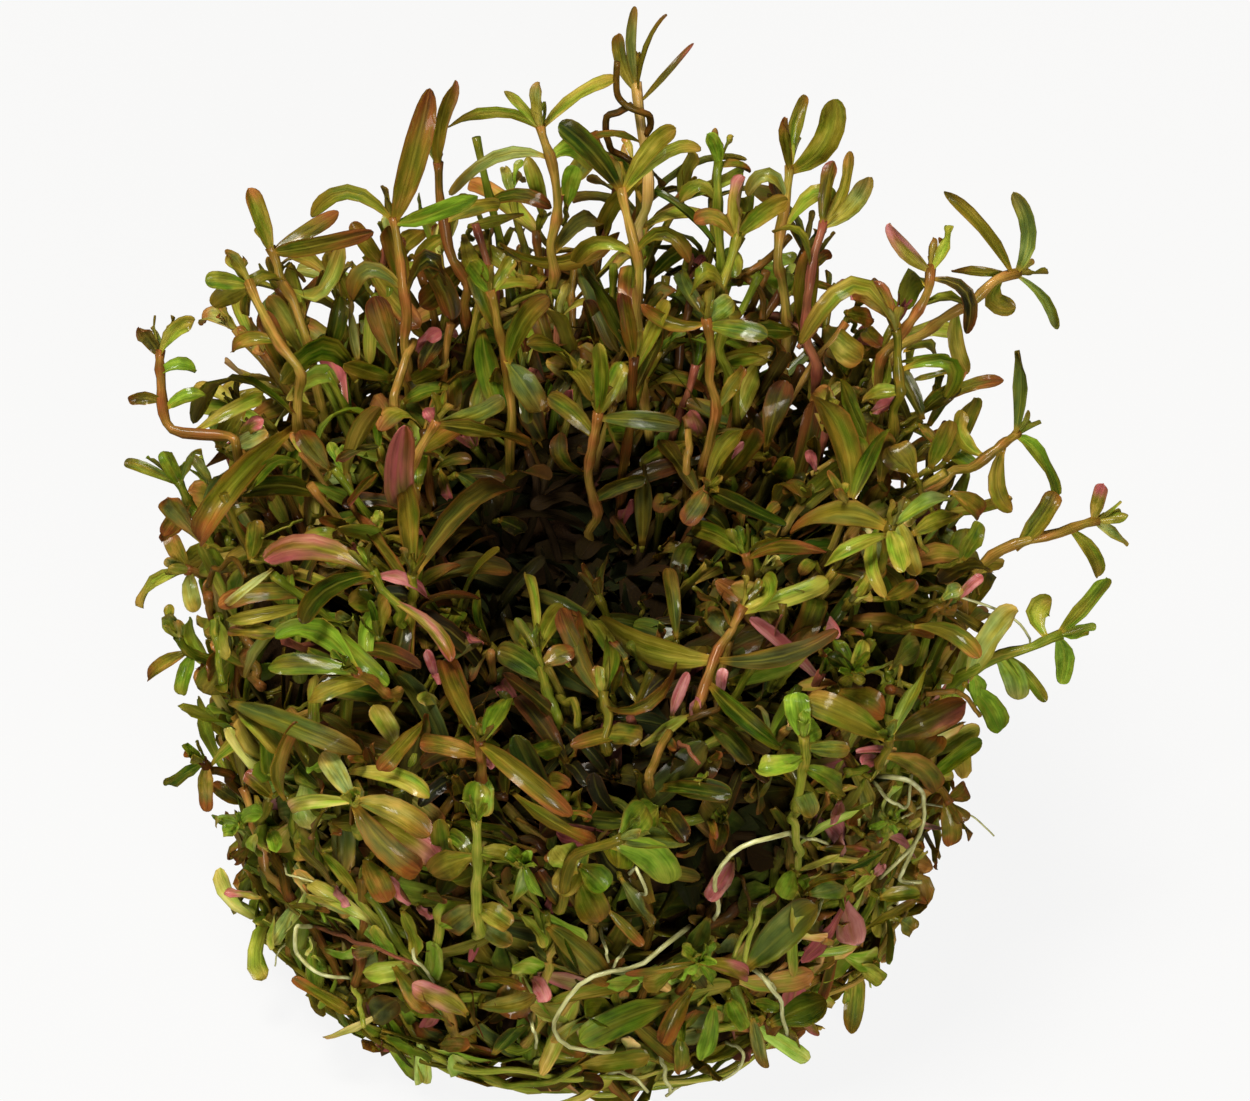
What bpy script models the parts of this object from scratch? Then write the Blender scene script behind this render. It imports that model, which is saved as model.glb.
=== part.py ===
"""Dwarf rotala as grown in a cup: leafy shoots that stand in a packed tangle of stems, leaves and roots.

Lengths are in millimetres, and `add_object` turns them into metres. +Z is up. The origin is the centre
of the small flat spot that the clump rests on, and the photograph looks along +Y and down.
"""

import math
import random
from typing import NamedTuple

import bmesh
import bpy
from mathutils import Matrix, Vector, noise
from mathutils.bvhtree import BVHTree

MM = 0.001
UP = Vector((0, 0, 1))

# The packed tangle: the cup's form below, and above it a leafy crown that is high behind and low in front,
# with a hollow in its middle.
CUP_RADIUS = 32.0
CUP_HEIGHT = 34.0
FLARE = 1.5
FLAT_SPOT_RADIUS = 21.0
BOTTOM_ROUNDING = CUP_RADIUS - FLAT_SPOT_RADIUS
CROWN_LEAN = 2.0
CROWN_FRONT = 41.0
CROWN_BACK = 60.0
CROWN_SIDES = 54.0
HOLLOW_FLOOR = 38.0
HOLLOW_RADIUS = 17.0
TANGLE_FACETS = 30
LUMP_SIZE = 9.0
LUMP_HEIGHT = 1.7

# Leaves that the cup's wall pressed flat on the tangle, and those that stand out of its crown.
PRESSED_LEAVES = 50
PRESSED_LENGTH = 10.5
PRESSED_WIDTH = 3.4
PRESSED_THICKNESS = 2.2
CROWN_LEAVES = 54
COLLAR_LEAVES = 26
CROWN_LEAF_LENGTH = 10.0
CROWN_LEAF_WIDTH = 3.0
CROWN_LEAF_THICKNESS = 1.5
CROWN_LEAF_ROOT = 2.5

# Stems and blades.
STEM_RADIUS = 0.8
STEM_SIDES = 4
BLADE_THICKNESS = 0.9
BLADE_STATIONS = ((0.34, 0.44), (0.82, 0.46))
PRESSED_STATIONS = ((0.5, 0.5),)
SOCKET_DEPTH = 4.0
SOCKET_CLEARANCE = 0.45
SOCKET_REACH = 4.5
FRONT_RISE = 6.5
PIECE_GAP = 0.3
TOP_NODE = 0.5
BUD = 1.0
ROOTED = 0.25

# Where the photograph was taken from, so that a point read on it can be placed in depth.
VIEW_ELEVATION = math.radians(38)
VIEW_DISTANCE = 500.0
VIEW_AIM = Vector((4.0, 6.0, 37.5))
PHOTO_CENTRE = (625.0, 550.5)
PIXELS_PER_MM = 11.1
AHEAD = Vector((0, math.cos(VIEW_ELEVATION), -math.sin(VIEW_ELEVATION)))
PHOTO_UP = Vector((0, math.sin(VIEW_ELEVATION), math.cos(VIEW_ELEVATION)))
EYE = VIEW_AIM - AHEAD * VIEW_DISTANCE


class Leaf(NamedTuple):
    """A leaf read from the photograph: `at` is its share of the way up the stem, `tip` and `via` are
    pixels, `width` is in millimetres, `back` is how far its tip lies behind the stem, and `turn` is how
    far its face turns from the viewer, in degrees."""

    at: float
    tip: tuple
    width: float
    via: tuple = None
    back: float = 0.0
    turn: float = 0.0


class Shoot(NamedTuple):
    """A shoot read from the photograph: `root` is a point inside the tangle that it comes from, `depth` is
    the y of its tip, and `stem` runs upwards through pixels. One with neither root nor depth rises from
    where the tangle is seen at its first pixel."""

    name: str
    root: tuple
    depth: float
    stem: list
    leaves: list


class Blade(NamedTuple):
    """A leaf blade in space: a curve from base to tip that leans through via."""

    base: Vector
    via: Vector
    tip: Vector
    facing: Vector
    width: float


SHOOTS = [
    Shoot("shoot_tallest", (4, 20, 34), 27, [(640, 285), (643, 150), (636, 82)], [
        Leaf(1.0, (635, 6), 1.1),
        Leaf(0.95, (619, 33), 1.2, (618, 62)),
        Leaf(0.93, (667, 14), 0.9, (641, 42)),
        Leaf(0.9, (694, 43), 1.0, (662, 82), 2),
        Leaf(0.72, (584, 141), 0.9, (612, 132), -3),
        Leaf(0.55, (600, 240), 1.8, (612, 205), 3),
    ]),
    Shoot("shoot_star_back", (-4, 22, 34), 25, [(556, 240), (553, 178), (540, 125)], [
        Leaf(1.0, (539, 82), 1.4),
        Leaf(1.0, (447, 128), 1.2, (500, 106)),
        Leaf(1.0, (504, 91), 0.9),
        Leaf(1.0, (618, 79), 1.6),
        Leaf(0.8, (449, 195), 1.2, (500, 146), 2),
        Leaf(0.78, (592, 168), 1.8, (574, 140), 3),
    ]),
    Shoot("shoot_dark_green", (7, 13, 34), 19, [(638, 290), (630, 227), (621, 188)], [
        Leaf(1.0, (559, 123), 2.1),
        Leaf(1.0, (676, 128), 1.7),
        Leaf(0.97, (701, 149), 1.2, (666, 150), 3),
        Leaf(0.7, (574, 262), 1.8, (598, 236), 2),
        Leaf(0.7, (690, 262), 1.7, (668, 226), -2),
    ]),
    Shoot("shoot_small_back", (13, 19, 34), 24, [(719, 241), (717, 184), (719, 162)], [
        Leaf(1.0, (707, 134), 1.5),
        Leaf(1.0, (751, 172), 1.3),
        Leaf(0.72, (680, 202), 1.3, (700, 182)),
        Leaf(0.6, (757, 222), 1.5),
    ]),
    Shoot("shoot_cup_back_right", (19, 17, 34), 23, [(783, 245), (787, 196), (790, 166)], [
        Leaf(1.0, (806, 95), 1.5, back=3),
        Leaf(1.0, (786, 118), 1.5, back=-2),
        Leaf(1.0, (833, 99), 2.6, (824, 142)),
        Leaf(0.75, (747, 196), 1.6, (768, 172)),
        Leaf(0.6, (838, 200), 1.6, (812, 186)),
    ]),
    Shoot("shoot_red_stem", (23, 11, 34), 18, [(805, 292), (815, 250), (824, 222)], [
        Leaf(1.0, (834, 161), 1.5, back=2),
        Leaf(1.0, (849, 151), 1.3, (842, 190), 4),
        Leaf(1.0, (868, 177), 1.8, (848, 208)),
        Leaf(0.7, (772, 232), 1.4, (798, 228)),
    ]),
    Shoot("shoot_brown_cluster", (13, 12, 34), 17, [(729, 275), (738, 232)], [
        Leaf(1.0, (744, 176), 2.4, (733, 204)),
        Leaf(1.0, (788, 199), 2.0),
        Leaf(0.95, (694, 222), 1.5, (716, 214)),
        Leaf(0.6, (690, 296), 1.8, (708, 262), -2),
    ]),
    Shoot("shoot_left_tall", (-21, 9, 34), 15, [(314, 356), (294, 303), (270, 247)], [
        Leaf(1.0, (248, 188), 2.1),
        Leaf(1.0, (374, 232), 1.7, (310, 248), -2),
        Leaf(0.97, (339, 212), 1.5, (302, 236), 2),
        Leaf(0.7, (341, 240), 1.7, (322, 296), 3),
        Leaf(0.75, (248, 316), 2.0, (256, 280), -2),
    ]),
    Shoot("shoot_round_left", (-24, 3, 34), 10, [(296, 372), (262, 312), (248, 281)], [
        Leaf(1.0, (205, 281), 2.0),
        Leaf(0.95, (212, 306), 2.1),
        Leaf(1.0, (226, 253), 1.1),
        Leaf(0.6, (232, 352), 1.9, (252, 340)),
    ]),
    Shoot("shoot_far_left", (-27, -3, 34), 5, [(236, 446), (172, 424), (160, 385), (160, 350)], [
        Leaf(1.0, (140, 329), 1.5),
        Leaf(1.0, (194, 322), 1.8, (176, 324)),
        Leaf(0.85, (196, 372), 2.0),
        Leaf(0.66, (128, 400), 1.5),
        Leaf(0.62, (206, 396), 1.7),
        Leaf(0.35, (262, 396), 1.7, (236, 404), 3),
    ]),
    Shoot("shoot_thin_left", (-31, -6, 31), -3, [(203, 530), (178, 481)], [
        Leaf(1.0, (124, 463), 1.3, (146, 464)),
        Leaf(1.0, (163, 451), 1.5),
        Leaf(0.95, (202, 450), 1.3, (186, 458)),
        Leaf(0.4, (163, 536), 1.4),
    ]),
    Shoot("shoot_brown_tip", (-10, 19, 34), 24, [(462, 285), (446, 223), (438, 162)], [
        Leaf(1.0, (456, 80), 1.7, (436, 124)),
        Leaf(0.6, (500, 205), 1.5, (474, 204), 2),
        Leaf(0.5, (418, 262), 1.5),
    ]),
    Shoot("shoot_arching_left", (-15, 12, 34), 18, [(405, 292), (393, 217)], [
        Leaf(1.0, (430, 88), 3.0, (404, 160), 2),
        Leaf(1.0, (311, 217), 1.4, (348, 186)),
        Leaf(1.0, (478, 196), 1.6, (430, 218), -2),
        Leaf(0.55, (352, 300), 1.8, (366, 262)),
        Leaf(0.5, (446, 286), 1.9, (428, 250), -2),
    ]),
    Shoot("shoot_folded_pink", (25, 7, 34), 13, [(886, 352), (926, 290), (931, 266)], [
        Leaf(1.0, (889, 223), 1.9, (908, 252)),
        Leaf(0.95, (950, 225), 1.1, (944, 246), 2),
        Leaf(0.9, (966, 334), 1.3, (974, 286), -2),
        Leaf(0.5, (852, 296), 1.6, (876, 300)),
    ]),
    Shoot("shoot_star_right", (26, 12, 34), 18, [(893, 362), (941, 318), (1004, 279), (1018, 273)], [
        Leaf(1.0, (1013, 192), 1.6, (1028, 236)),
        Leaf(0.94, (944, 191), 1.5, (986, 222)),
        Leaf(1.0, (1055, 329), 1.2, (1050, 292)),
        Leaf(0.92, (951, 271), 0.9),
        Leaf(0.85, (1016, 308), 1.9, (990, 300)),
        Leaf(0.5, (968, 374), 1.6, (950, 344), -2),
    ]),
    Shoot("shoot_arc_right", (24, 2, 34), 6, [(902, 395), (896, 330)], [
        Leaf(1.0, (800, 345), 1.6, (858, 268), -3),
        Leaf(1.0, (872, 282), 1.5, back=3),
        Leaf(0.6, (945, 398), 1.8, (958, 352)),
        Leaf(0.4, (862, 402), 1.9),
    ]),
    Shoot("shoot_upright_right", (29, -2, 34), 3, [(930, 486), (1004, 447), (1018, 433)], [
        Leaf(1.0, (1018, 350), 1.5),
        Leaf(1.0, (1058, 496), 1.4, (1042, 446)),
        Leaf(0.7, (1012, 512), 1.8, (992, 488), -2),
        Leaf(0.45, (962, 410), 1.8, (958, 440), 3),
    ]),
    Shoot("shoot_far_right", (31, -6, 32), -2, [(1000, 556), (1066, 528), (1098, 520)], [
        Leaf(1.0, (1103, 484), 1.3),
        Leaf(1.0, (1128, 546), 1.1),
        Leaf(0.85, (1098, 577), 1.8),
        Leaf(0.6, (1056, 492), 1.9, (1040, 516), 2),
    ]),
    Shoot("shoot_bright_right", (30, -10, 30), -8, [(985, 660), (1030, 645), (1062, 634)], [
        Leaf(1.0, (1107, 578), 1.6),
        Leaf(0.9, (1052, 600), 2.6, (1030, 612), 2),
        Leaf(1.0, (1060, 684), 1.8),
        Leaf(0.55, (1018, 700), 2.2),
        Leaf(0.35, (978, 704), 2.0),
    ]),
    Shoot("shoot_orange_low_right", (26, -8, 20), -10, [(938, 790), (950, 804)], [
        Leaf(1.0, (972, 834), 2.0),
        Leaf(1.0, (950, 846), 2.0, back=-2),
        Leaf(0.9, (966, 786), 1.8, back=3),
    ]),
    Shoot("shoot_hook_left", (-28, 1, 33), -1, [(203, 572), (186, 570)], [
        Leaf(1.0, (141, 608), 1.5, (156, 576)),
        Leaf(0.9, (170, 534), 1.6, back=2),
        Leaf(0.8, (196, 612), 1.6, back=-3),
    ]),
    Shoot("shoot_round_low_left", (-27, -5, 26), -7, [(204, 662), (188, 652), (178, 636)], [
        Leaf(1.0, (168, 614), 2.2),
        Leaf(0.6, (148, 679), 1.7),
        Leaf(0.5, (182, 695), 1.8, back=-2),
    ]),
    Shoot("shoot_low_left", (-26, -8, 17), -10, [(212, 768), (202, 760)], [
        Leaf(1.0, (166, 786), 1.3, back=2),
        Leaf(1.0, (184, 752), 1.5),
        Leaf(0.8, (206, 812), 1.6, back=-2),
    ]),
    Shoot("shoot_curly_front", None, None, [(700, 706), (718, 655), (744, 606)], [
        Leaf(1.0, (764, 576), 2.2, (772, 596)),
        Leaf(0.95, (828, 580), 1.7, (796, 590), 2),
        Leaf(0.5, (602, 622), 2.6, (654, 654)),
        Leaf(0.5, (838, 630), 2.1, (782, 656), -2),
        Leaf(0.3, (780, 746), 2.0, (744, 724), -3),
    ]),
    Shoot("shoot_bright_chain", None, None, [(796, 806), (804, 768), (804, 736)], [
        Leaf(1.0, (796, 692), 2.2),
        Leaf(0.95, (820, 728), 2.0, back=2),
        Leaf(0.75, (758, 770), 2.4, (782, 768), -2),
        Leaf(0.6, (842, 790), 2.0, (822, 776)),
    ]),
    Shoot("shoot_orange_node_front", None, None, [(484, 776), (480, 740)], [
        Leaf(1.0, (442, 660), 2.2, back=2),
        Leaf(0.9, (572, 816), 2.3, (522, 762), -3),
        Leaf(1.0, (506, 700), 1.8),
        Leaf(0.6, (420, 742), 1.8, (448, 748)),
    ]),
    Shoot("shoot_bright_tuft", None, None, [(560, 722), (536, 650)], [
        Leaf(1.0, (526, 574), 1.0, (532, 604)),
        Leaf(1.0, (564, 606), 1.8),
        Leaf(0.6, (497, 650), 2.3),
        Leaf(0.8, (574, 650), 2.0, back=-3),
    ]),
    Shoot("shoot_olive_tuft", None, None, [(606, 750), (603, 692)], [
        Leaf(1.0, (578, 616), 2.2, (580, 650)),
        Leaf(1.0, (606, 640), 1.9, back=-2),
        Leaf(0.8, (677, 662), 1.4, (650, 714), -2),
        Leaf(0.4, (642, 738), 2.1),
    ]),
    Shoot("shoot_round_leaves", None, None, [(560, 905), (584, 856), (622, 838)], [
        Leaf(1.0, (646, 806), 3.2),
        Leaf(1.0, (686, 842), 2.6, back=3),
        Leaf(0.9, (668, 884), 3.0, (652, 858)),
        Leaf(0.55, (606, 890), 2.8, back=-2),
        Leaf(0.45, (556, 846), 2.8),
    ]),
    Shoot("shoot_pale_stem", None, None, [(478, 935), (476, 880), (476, 820)], [
        Leaf(1.0, (478, 782), 2.8),
        Leaf(0.75, (520, 868), 2.6),
        Leaf(0.72, (432, 874), 2.6),
        Leaf(0.3, (446, 930), 2.3),
        Leaf(0.3, (510, 926), 2.2),
    ]),
    Shoot("shoot_star_front_left", None, None, [(360, 830), (354, 800)], [
        Leaf(1.0, (290, 808), 1.5),
        Leaf(1.0, (430, 836), 2.4),
        Leaf(0.9, (420, 872), 2.6, (390, 846), -2),
        Leaf(1.0, (322, 752), 1.9, back=3),
    ]),
    Shoot("shoot_green_left", None, None, [(404, 622), (372, 570)], [
        Leaf(1.0, (264, 560), 2.3, (316, 546)),
        Leaf(0.95, (302, 624), 1.9, (322, 590), -2),
        Leaf(0.9, (430, 600), 1.7, back=2),
        Leaf(0.5, (450, 662), 1.7, (436, 632), -2),
    ]),
    Shoot("shoot_big_blade", None, None, [(412, 608), (412, 574)], [
        Leaf(1.0, (516, 490), 2.7),
        Leaf(1.0, (404, 486), 2.2, back=2),
        Leaf(0.6, (350, 506), 1.9, (372, 544), 3),
    ]),
    Shoot("shoot_centre_whorl", (1, 6, 34), 7, [(592, 482), (596, 432), (598, 412)], [
        Leaf(1.0, (598, 343), 1.6),
        Leaf(1.0, (623, 362), 1.7, back=2),
        Leaf(0.95, (680, 426), 1.8),
        Leaf(0.8, (548, 396), 1.8, back=2),
        Leaf(0.3, (646, 478), 1.7),
    ]),
    Shoot("shoot_dark_right", None, None, [(694, 500), (708, 488)], [
        Leaf(1.0, (750, 426), 2.5, (722, 446)),
        Leaf(1.0, (684, 524), 2.0, back=-3),
        Leaf(1.0, (786, 526), 1.7, (742, 500)),
        Leaf(0.4, (660, 440), 1.8, back=3),
    ]),
    Shoot("shoot_big_oval", None, None, [(880, 570), (892, 524)], [
        Leaf(1.0, (790, 534), 3.0, (838, 508)),
        Leaf(1.0, (952, 500), 2.0, back=2),
        Leaf(0.9, (904, 572), 1.8, back=-3),
        Leaf(0.8, (824, 566), 1.4, (858, 548), -3),
    ]),
    Shoot("shoot_low_green_right", None, None, [(880, 770), (888, 737)], [
        Leaf(1.0, (806, 700), 2.6, (846, 706)),
        Leaf(1.0, (966, 702), 2.8, (926, 726)),
        Leaf(0.9, (930, 664), 2.1, back=3),
        Leaf(0.5, (936, 792), 2.1, (916, 768), -3),
    ]),
    Shoot("shoot_bright_node", (8, 8, 34), 10, [(717, 411), (714, 372), (706, 318)], [
        Leaf(1.0, (641, 304), 1.7, (672, 326)),
        Leaf(1.0, (733, 300), 2.0, back=2),
        Leaf(0.95, (768, 336), 1.9, back=-2),
        Leaf(0.4, (745, 368), 1.5),
    ]),
    Shoot("shoot_hanging_leaf", (-7, 10, 34), 13, [(512, 400), (502, 338), (490, 290)], [
        Leaf(0.6, (541, 412), 2.6, back=-2),
        Leaf(0.55, (549, 297), 2.0),
        Leaf(1.0, (470, 262), 1.8),
        Leaf(1.0, (512, 258), 1.6, back=2),
    ]),
    Shoot("shoot_red_folded", (3, 8, 34), 9, [(632, 420), (634, 356)], [
        Leaf(1.0, (583, 265), 2.5, back=2),
        Leaf(1.0, (622, 293), 1.7, back=-2),
        Leaf(0.9, (668, 300), 1.7, back=2),
    ]),
    Shoot("shoot_pink_upright", (-12, 0, 34), 0, [(410, 556), (422, 450), (437, 420)], [
        Leaf(1.0, (504, 398), 1.6, (478, 416)),
        Leaf(0.95, (531, 443), 1.7, (484, 430), -2),
        Leaf(1.0, (425, 408), 1.4),
        Leaf(0.15, (404, 425), 2.0, back=-2),
    ]),
    Shoot("shoot_orange_node_right", None, None, [(753, 578), (745, 552)], [
        Leaf(1.0, (692, 527), 1.9),
        Leaf(1.0, (791, 539), 1.7, back=2),
        Leaf(0.8, (827, 553), 1.3, back=-2),
    ]),
    Shoot("shoot_long_leaf", None, None, [(862, 524), (848, 502)], [
        Leaf(1.0, (812, 394), 2.9, (838, 440)),
        Leaf(0.9, (886, 430), 2.0, back=2),
    ]),
    Shoot("shoot_bright_left", None, None, [(394, 698), (356, 672)], [
        Leaf(1.0, (268, 667), 1.9, back=-1),
        Leaf(1.0, (275, 638), 2.6, (316, 624), 2),
        Leaf(0.7, (308, 702), 1.8, back=-2),
    ]),
]


def sight_ray(pixel):
    """The direction in which this pixel of the photograph was seen."""
    across = (pixel[0] - PHOTO_CENTRE[0]) / (PIXELS_PER_MM * VIEW_DISTANCE)
    above = (PHOTO_CENTRE[1] - pixel[1]) / (PIXELS_PER_MM * VIEW_DISTANCE)
    return (AHEAD + Vector((across, 0, 0)) + PHOTO_UP * above).normalized()


def sight(pixel, depth):
    """The point seen at this pixel, on the upright plane y = depth."""
    ray = sight_ray(pixel)
    return EYE + ray * ((depth - EYE.y) / ray.y)


def sight_over(pixel, rise, tree, depth=0.0):
    """The point seen at this pixel, this far in front of the tangle, or at this depth beside it."""
    ray = sight_ray(pixel)
    seen, _, _, _ = tree.ray_cast(EYE, ray)
    return seen - ray * rise if seen else sight(pixel, depth)


def add_object(name, points, faces, material):
    """A mesh object from points in millimetres."""
    mesh = bpy.data.meshes.new(name)
    mesh.from_pydata([p * MM for p in points], [], faces)
    mesh.materials.append(material)
    obj = bpy.data.objects.new(name, mesh)
    bpy.context.scene.collection.objects.link(obj)
    return obj


def plant_material(name, colour, roughness):
    material = bpy.data.materials.new(name)
    material.use_nodes = True
    shader = material.node_tree.nodes["Principled BSDF"]
    shader.inputs["Base Color"].default_value = (*colour, 1)
    shader.inputs["Roughness"].default_value = roughness
    shader.inputs["Metallic"].default_value = 0.0
    return material


def remove_object(obj):
    bpy.data.objects.remove(obj)


def evaluated_mesh(obj):
    """The object's mesh with its modifiers applied."""
    bpy.context.view_layer.update()
    graph = bpy.context.evaluated_depsgraph_get()
    return bpy.data.meshes.new_from_object(obj.evaluated_get(graph))


def fuse(body, others, operation, solver="EXACT"):
    """Joins the others to the body, or cuts them from it, one by one, and removes them."""
    for other in others:
        modifier = body.modifiers.new(operation, "BOOLEAN")
        modifier.operation = operation
        modifier.object = other
        modifier.solver = solver
    mesh = evaluated_mesh(body)
    body.modifiers.clear()
    body.data = mesh
    for other in others:
        remove_object(other)


def tree_of(points, faces):
    return BVHTree.FromPolygons([tuple(p) for p in points], faces)


def tree_of_object(obj):
    points = [obj.matrix_world @ v.co / MM for v in obj.data.vertices]
    return tree_of(points, [tuple(p.vertices) for p in obj.data.polygons])


def across_axis(direction):
    """Two unit vectors square to a direction and to each other."""
    side = direction.cross(UP if abs(direction.z) < 0.9 else Vector((1, 0, 0))).normalized()
    return side, side.cross(direction).normalized()


def tube(path, radius, sides=STEM_SIDES, taper=0.7, bud=0.0):
    """A closed tube along the path that tapers towards its last point, with a pointed bud past it."""
    points, faces = [], []
    side, _ = across_axis((path[1] - path[0]).normalized())
    for i, centre in enumerate(path):
        before = path[max(i - 1, 0)]
        after = path[min(i + 1, len(path) - 1)]
        along = (after - before).normalized()
        side = (side - along * side.dot(along)).normalized()
        other = along.cross(side)
        size = radius * (1 - (1 - taper) * i / (len(path) - 1))
        for k in range(sides):
            turn = 2 * math.pi * k / sides
            points.append(centre + (side * math.cos(turn) + other * math.sin(turn)) * size)
    for i in range(len(path) - 1):
        for k in range(sides):
            low, next_low = i * sides + k, i * sides + (k + 1) % sides
            faces.append((low, low + sides, next_low + sides, next_low))
    faces.append(tuple(range(sides)))
    points.append(path[-1] + (path[-1] - path[-2]).normalized() * bud)
    last = len(points) - 1 - sides
    faces += [(len(points) - 1, last + (k + 1) % sides, last + k) for k in range(sides)]
    return points, faces


def blade_point(blade, t):
    return blade.base * (1 - t) ** 2 + blade.via * 2 * t * (1 - t) + blade.tip * t ** 2


def blade_shape(blade, thickness=BLADE_THICKNESS, grow=0.0, stations=BLADE_STATIONS):
    """A closed leaf blade: flat above, keeled below along its midrib, and pointed at both ends."""
    points = [blade_point(blade, 0)]
    side = (blade.tip - blade.base).cross(blade.facing)
    for t, half_share in stations:
        along = (blade_point(blade, t + 0.05) - blade_point(blade, t - 0.05)).normalized()
        side = (side - along * side.dot(along)).normalized()
        face = side.cross(along)
        half = blade.width * half_share + grow
        centre = blade_point(blade, t) + face * (thickness * 0.3 + grow)
        points += [centre + side * half, centre - side * half, centre - face * (thickness + grow * 2)]
    points.append(blade_point(blade, 1))
    last = len(points) - 1
    faces = [(0, 1 + k, 1 + (k + 1) % 3) for k in range(3)]
    for first in range(1, last - 3, 3):
        faces += [(first + k, first + 3 + k, first + 3 + (k + 1) % 3, first + (k + 1) % 3) for k in range(3)]
    faces += [(last, last - 3 + (k + 1) % 3, last - 3 + k) for k in range(3)]
    return points, faces


def outward(points, faces):
    """The faces turned so that they point out of the closed shape."""
    shape = bmesh.new()
    corners = [shape.verts.new(p) for p in points]
    for face in faces:
        shape.faces.new([corners[i] for i in face])
    bmesh.ops.recalc_face_normals(shape, faces=shape.faces)
    shape.verts.index_update()
    turned = [tuple(v.index for v in face.verts) for face in shape.faces]
    shape.free()
    return points, turned


def rim_height(azimuth):
    """How high the crown stands in this direction, counted from +X: lowest in front, highest behind."""
    back = math.sin(azimuth)
    ends = CROWN_BACK if back > 0 else CROWN_FRONT
    return CROWN_SIDES + (ends - CROWN_SIDES) * back * back


def tangle_profile(azimuth):
    """Reach and height from the middle of the flat spot, up the wall, over the crown, to the hollow's floor."""
    rim = rim_height(azimuth)
    widest = CUP_RADIUS + FLARE + CROWN_LEAN * (rim - CUP_HEIGHT) / (CROWN_BACK - CUP_HEIGHT)
    outline = [(0, 0), (FLAT_SPOT_RADIUS * 0.55, 0)]
    for degrees in (0, 30, 60, 90):
        turn = math.radians(degrees)
        outline.append((FLAT_SPOT_RADIUS + BOTTOM_ROUNDING * math.sin(turn),
                        BOTTOM_ROUNDING * (1 - math.cos(turn))))
    outline.append((CUP_RADIUS + FLARE * 0.6, CUP_HEIGHT * 0.62))
    outline.append((CUP_RADIUS + FLARE, CUP_HEIGHT))
    outline.append((widest, rim - 6.0))
    outline.append((widest - 4.5, rim))
    outline.append((HOLLOW_RADIUS, (rim + HOLLOW_FLOOR) / 2 + 2.0))
    outline.append((HOLLOW_RADIUS * 0.5, HOLLOW_FLOOR + 1.0))
    outline.append((0, HOLLOW_FLOOR))
    return outline


def make_tangle(material):
    """The packed tangle: a profile for each direction, with lumps everywhere but on the flat spot."""
    azimuths = [2 * math.pi * k / TANGLE_FACETS for k in range(TANGLE_FACETS)]
    profiles = [tangle_profile(azimuth) for azimuth in azimuths]
    rings = len(profiles[0]) - 2
    points = [Vector((0, 0, 0)), Vector((0, 0, HOLLOW_FLOOR))]
    for azimuth, profile in zip(azimuths, profiles):
        for reach, height in profile[1:-1]:
            points.append(Vector((reach * math.cos(azimuth), reach * math.sin(azimuth), height)))
    for i, point in enumerate(points):
        if point.z > 0.5:
            outwards = Vector((point.x, point.y, 0)).normalized() + UP * 0.3
            points[i] = point + outwards * LUMP_HEIGHT * noise.noise(point / LUMP_SIZE)
    faces = []
    for k in range(TANGLE_FACETS):
        here, beside = 2 + k * rings, 2 + (k + 1) % TANGLE_FACETS * rings
        faces.append((0, beside, here))
        faces.append((1, here + rings - 1, beside + rings - 1))
        faces += [(here + i, beside + i, beside + i + 1, here + i + 1) for i in range(rings - 1)]
    return add_object("packed_tangle", *outward(points, faces), material)


def pressed_leaf(tree, azimuth, height, dice):
    """A leaf lying flat on the wall and half sunk in it."""
    away = Vector((math.cos(azimuth), math.sin(azimuth), 0))
    middle, normal, _, _ = tree.ray_cast(away * 80 + UP * height, -away)
    lean = math.radians(dice.uniform(-75, 75))
    level, steep = across_axis(normal)
    along = steep * math.cos(lean) + level * math.sin(lean)
    half = along * PRESSED_LENGTH * dice.uniform(0.38, 0.52)
    sunk = normal * 0.2
    width = PRESSED_WIDTH * dice.uniform(0.75, 1.2)
    return Blade(middle - half - sunk, middle + normal * 0.9, middle + half - sunk, normal, width)


def crown_leaf(tree, azimuth, start, towards, dice):
    """A leaf that stands out of the tangle where a line from start meets it, and curls over at its tip."""
    away = Vector((math.cos(azimuth), math.sin(azimuth), 0))
    middle, normal, _, _ = tree.ray_cast(start, towards)
    wander = Vector((dice.uniform(-1, 1), dice.uniform(-1, 1), dice.uniform(-0.3, 0.5)))
    first = (normal * 0.8 + UP * 0.5 + away * 0.4 + wander * 0.7).normalized()
    length = CROWN_LEAF_LENGTH * dice.uniform(0.75, 1.15)
    base = middle - first * CROWN_LEAF_ROOT
    via = base + first * length * 0.6
    tip = via + (first + away * 0.4 + wander * 0.5 - UP * 0.3).normalized() * length * 0.5
    facing = UP * 0.6 - away * 0.8 + wander * 0.4
    return Blade(base, via, tip, facing, CROWN_LEAF_WIDTH * dice.uniform(0.75, 1.2))


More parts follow.
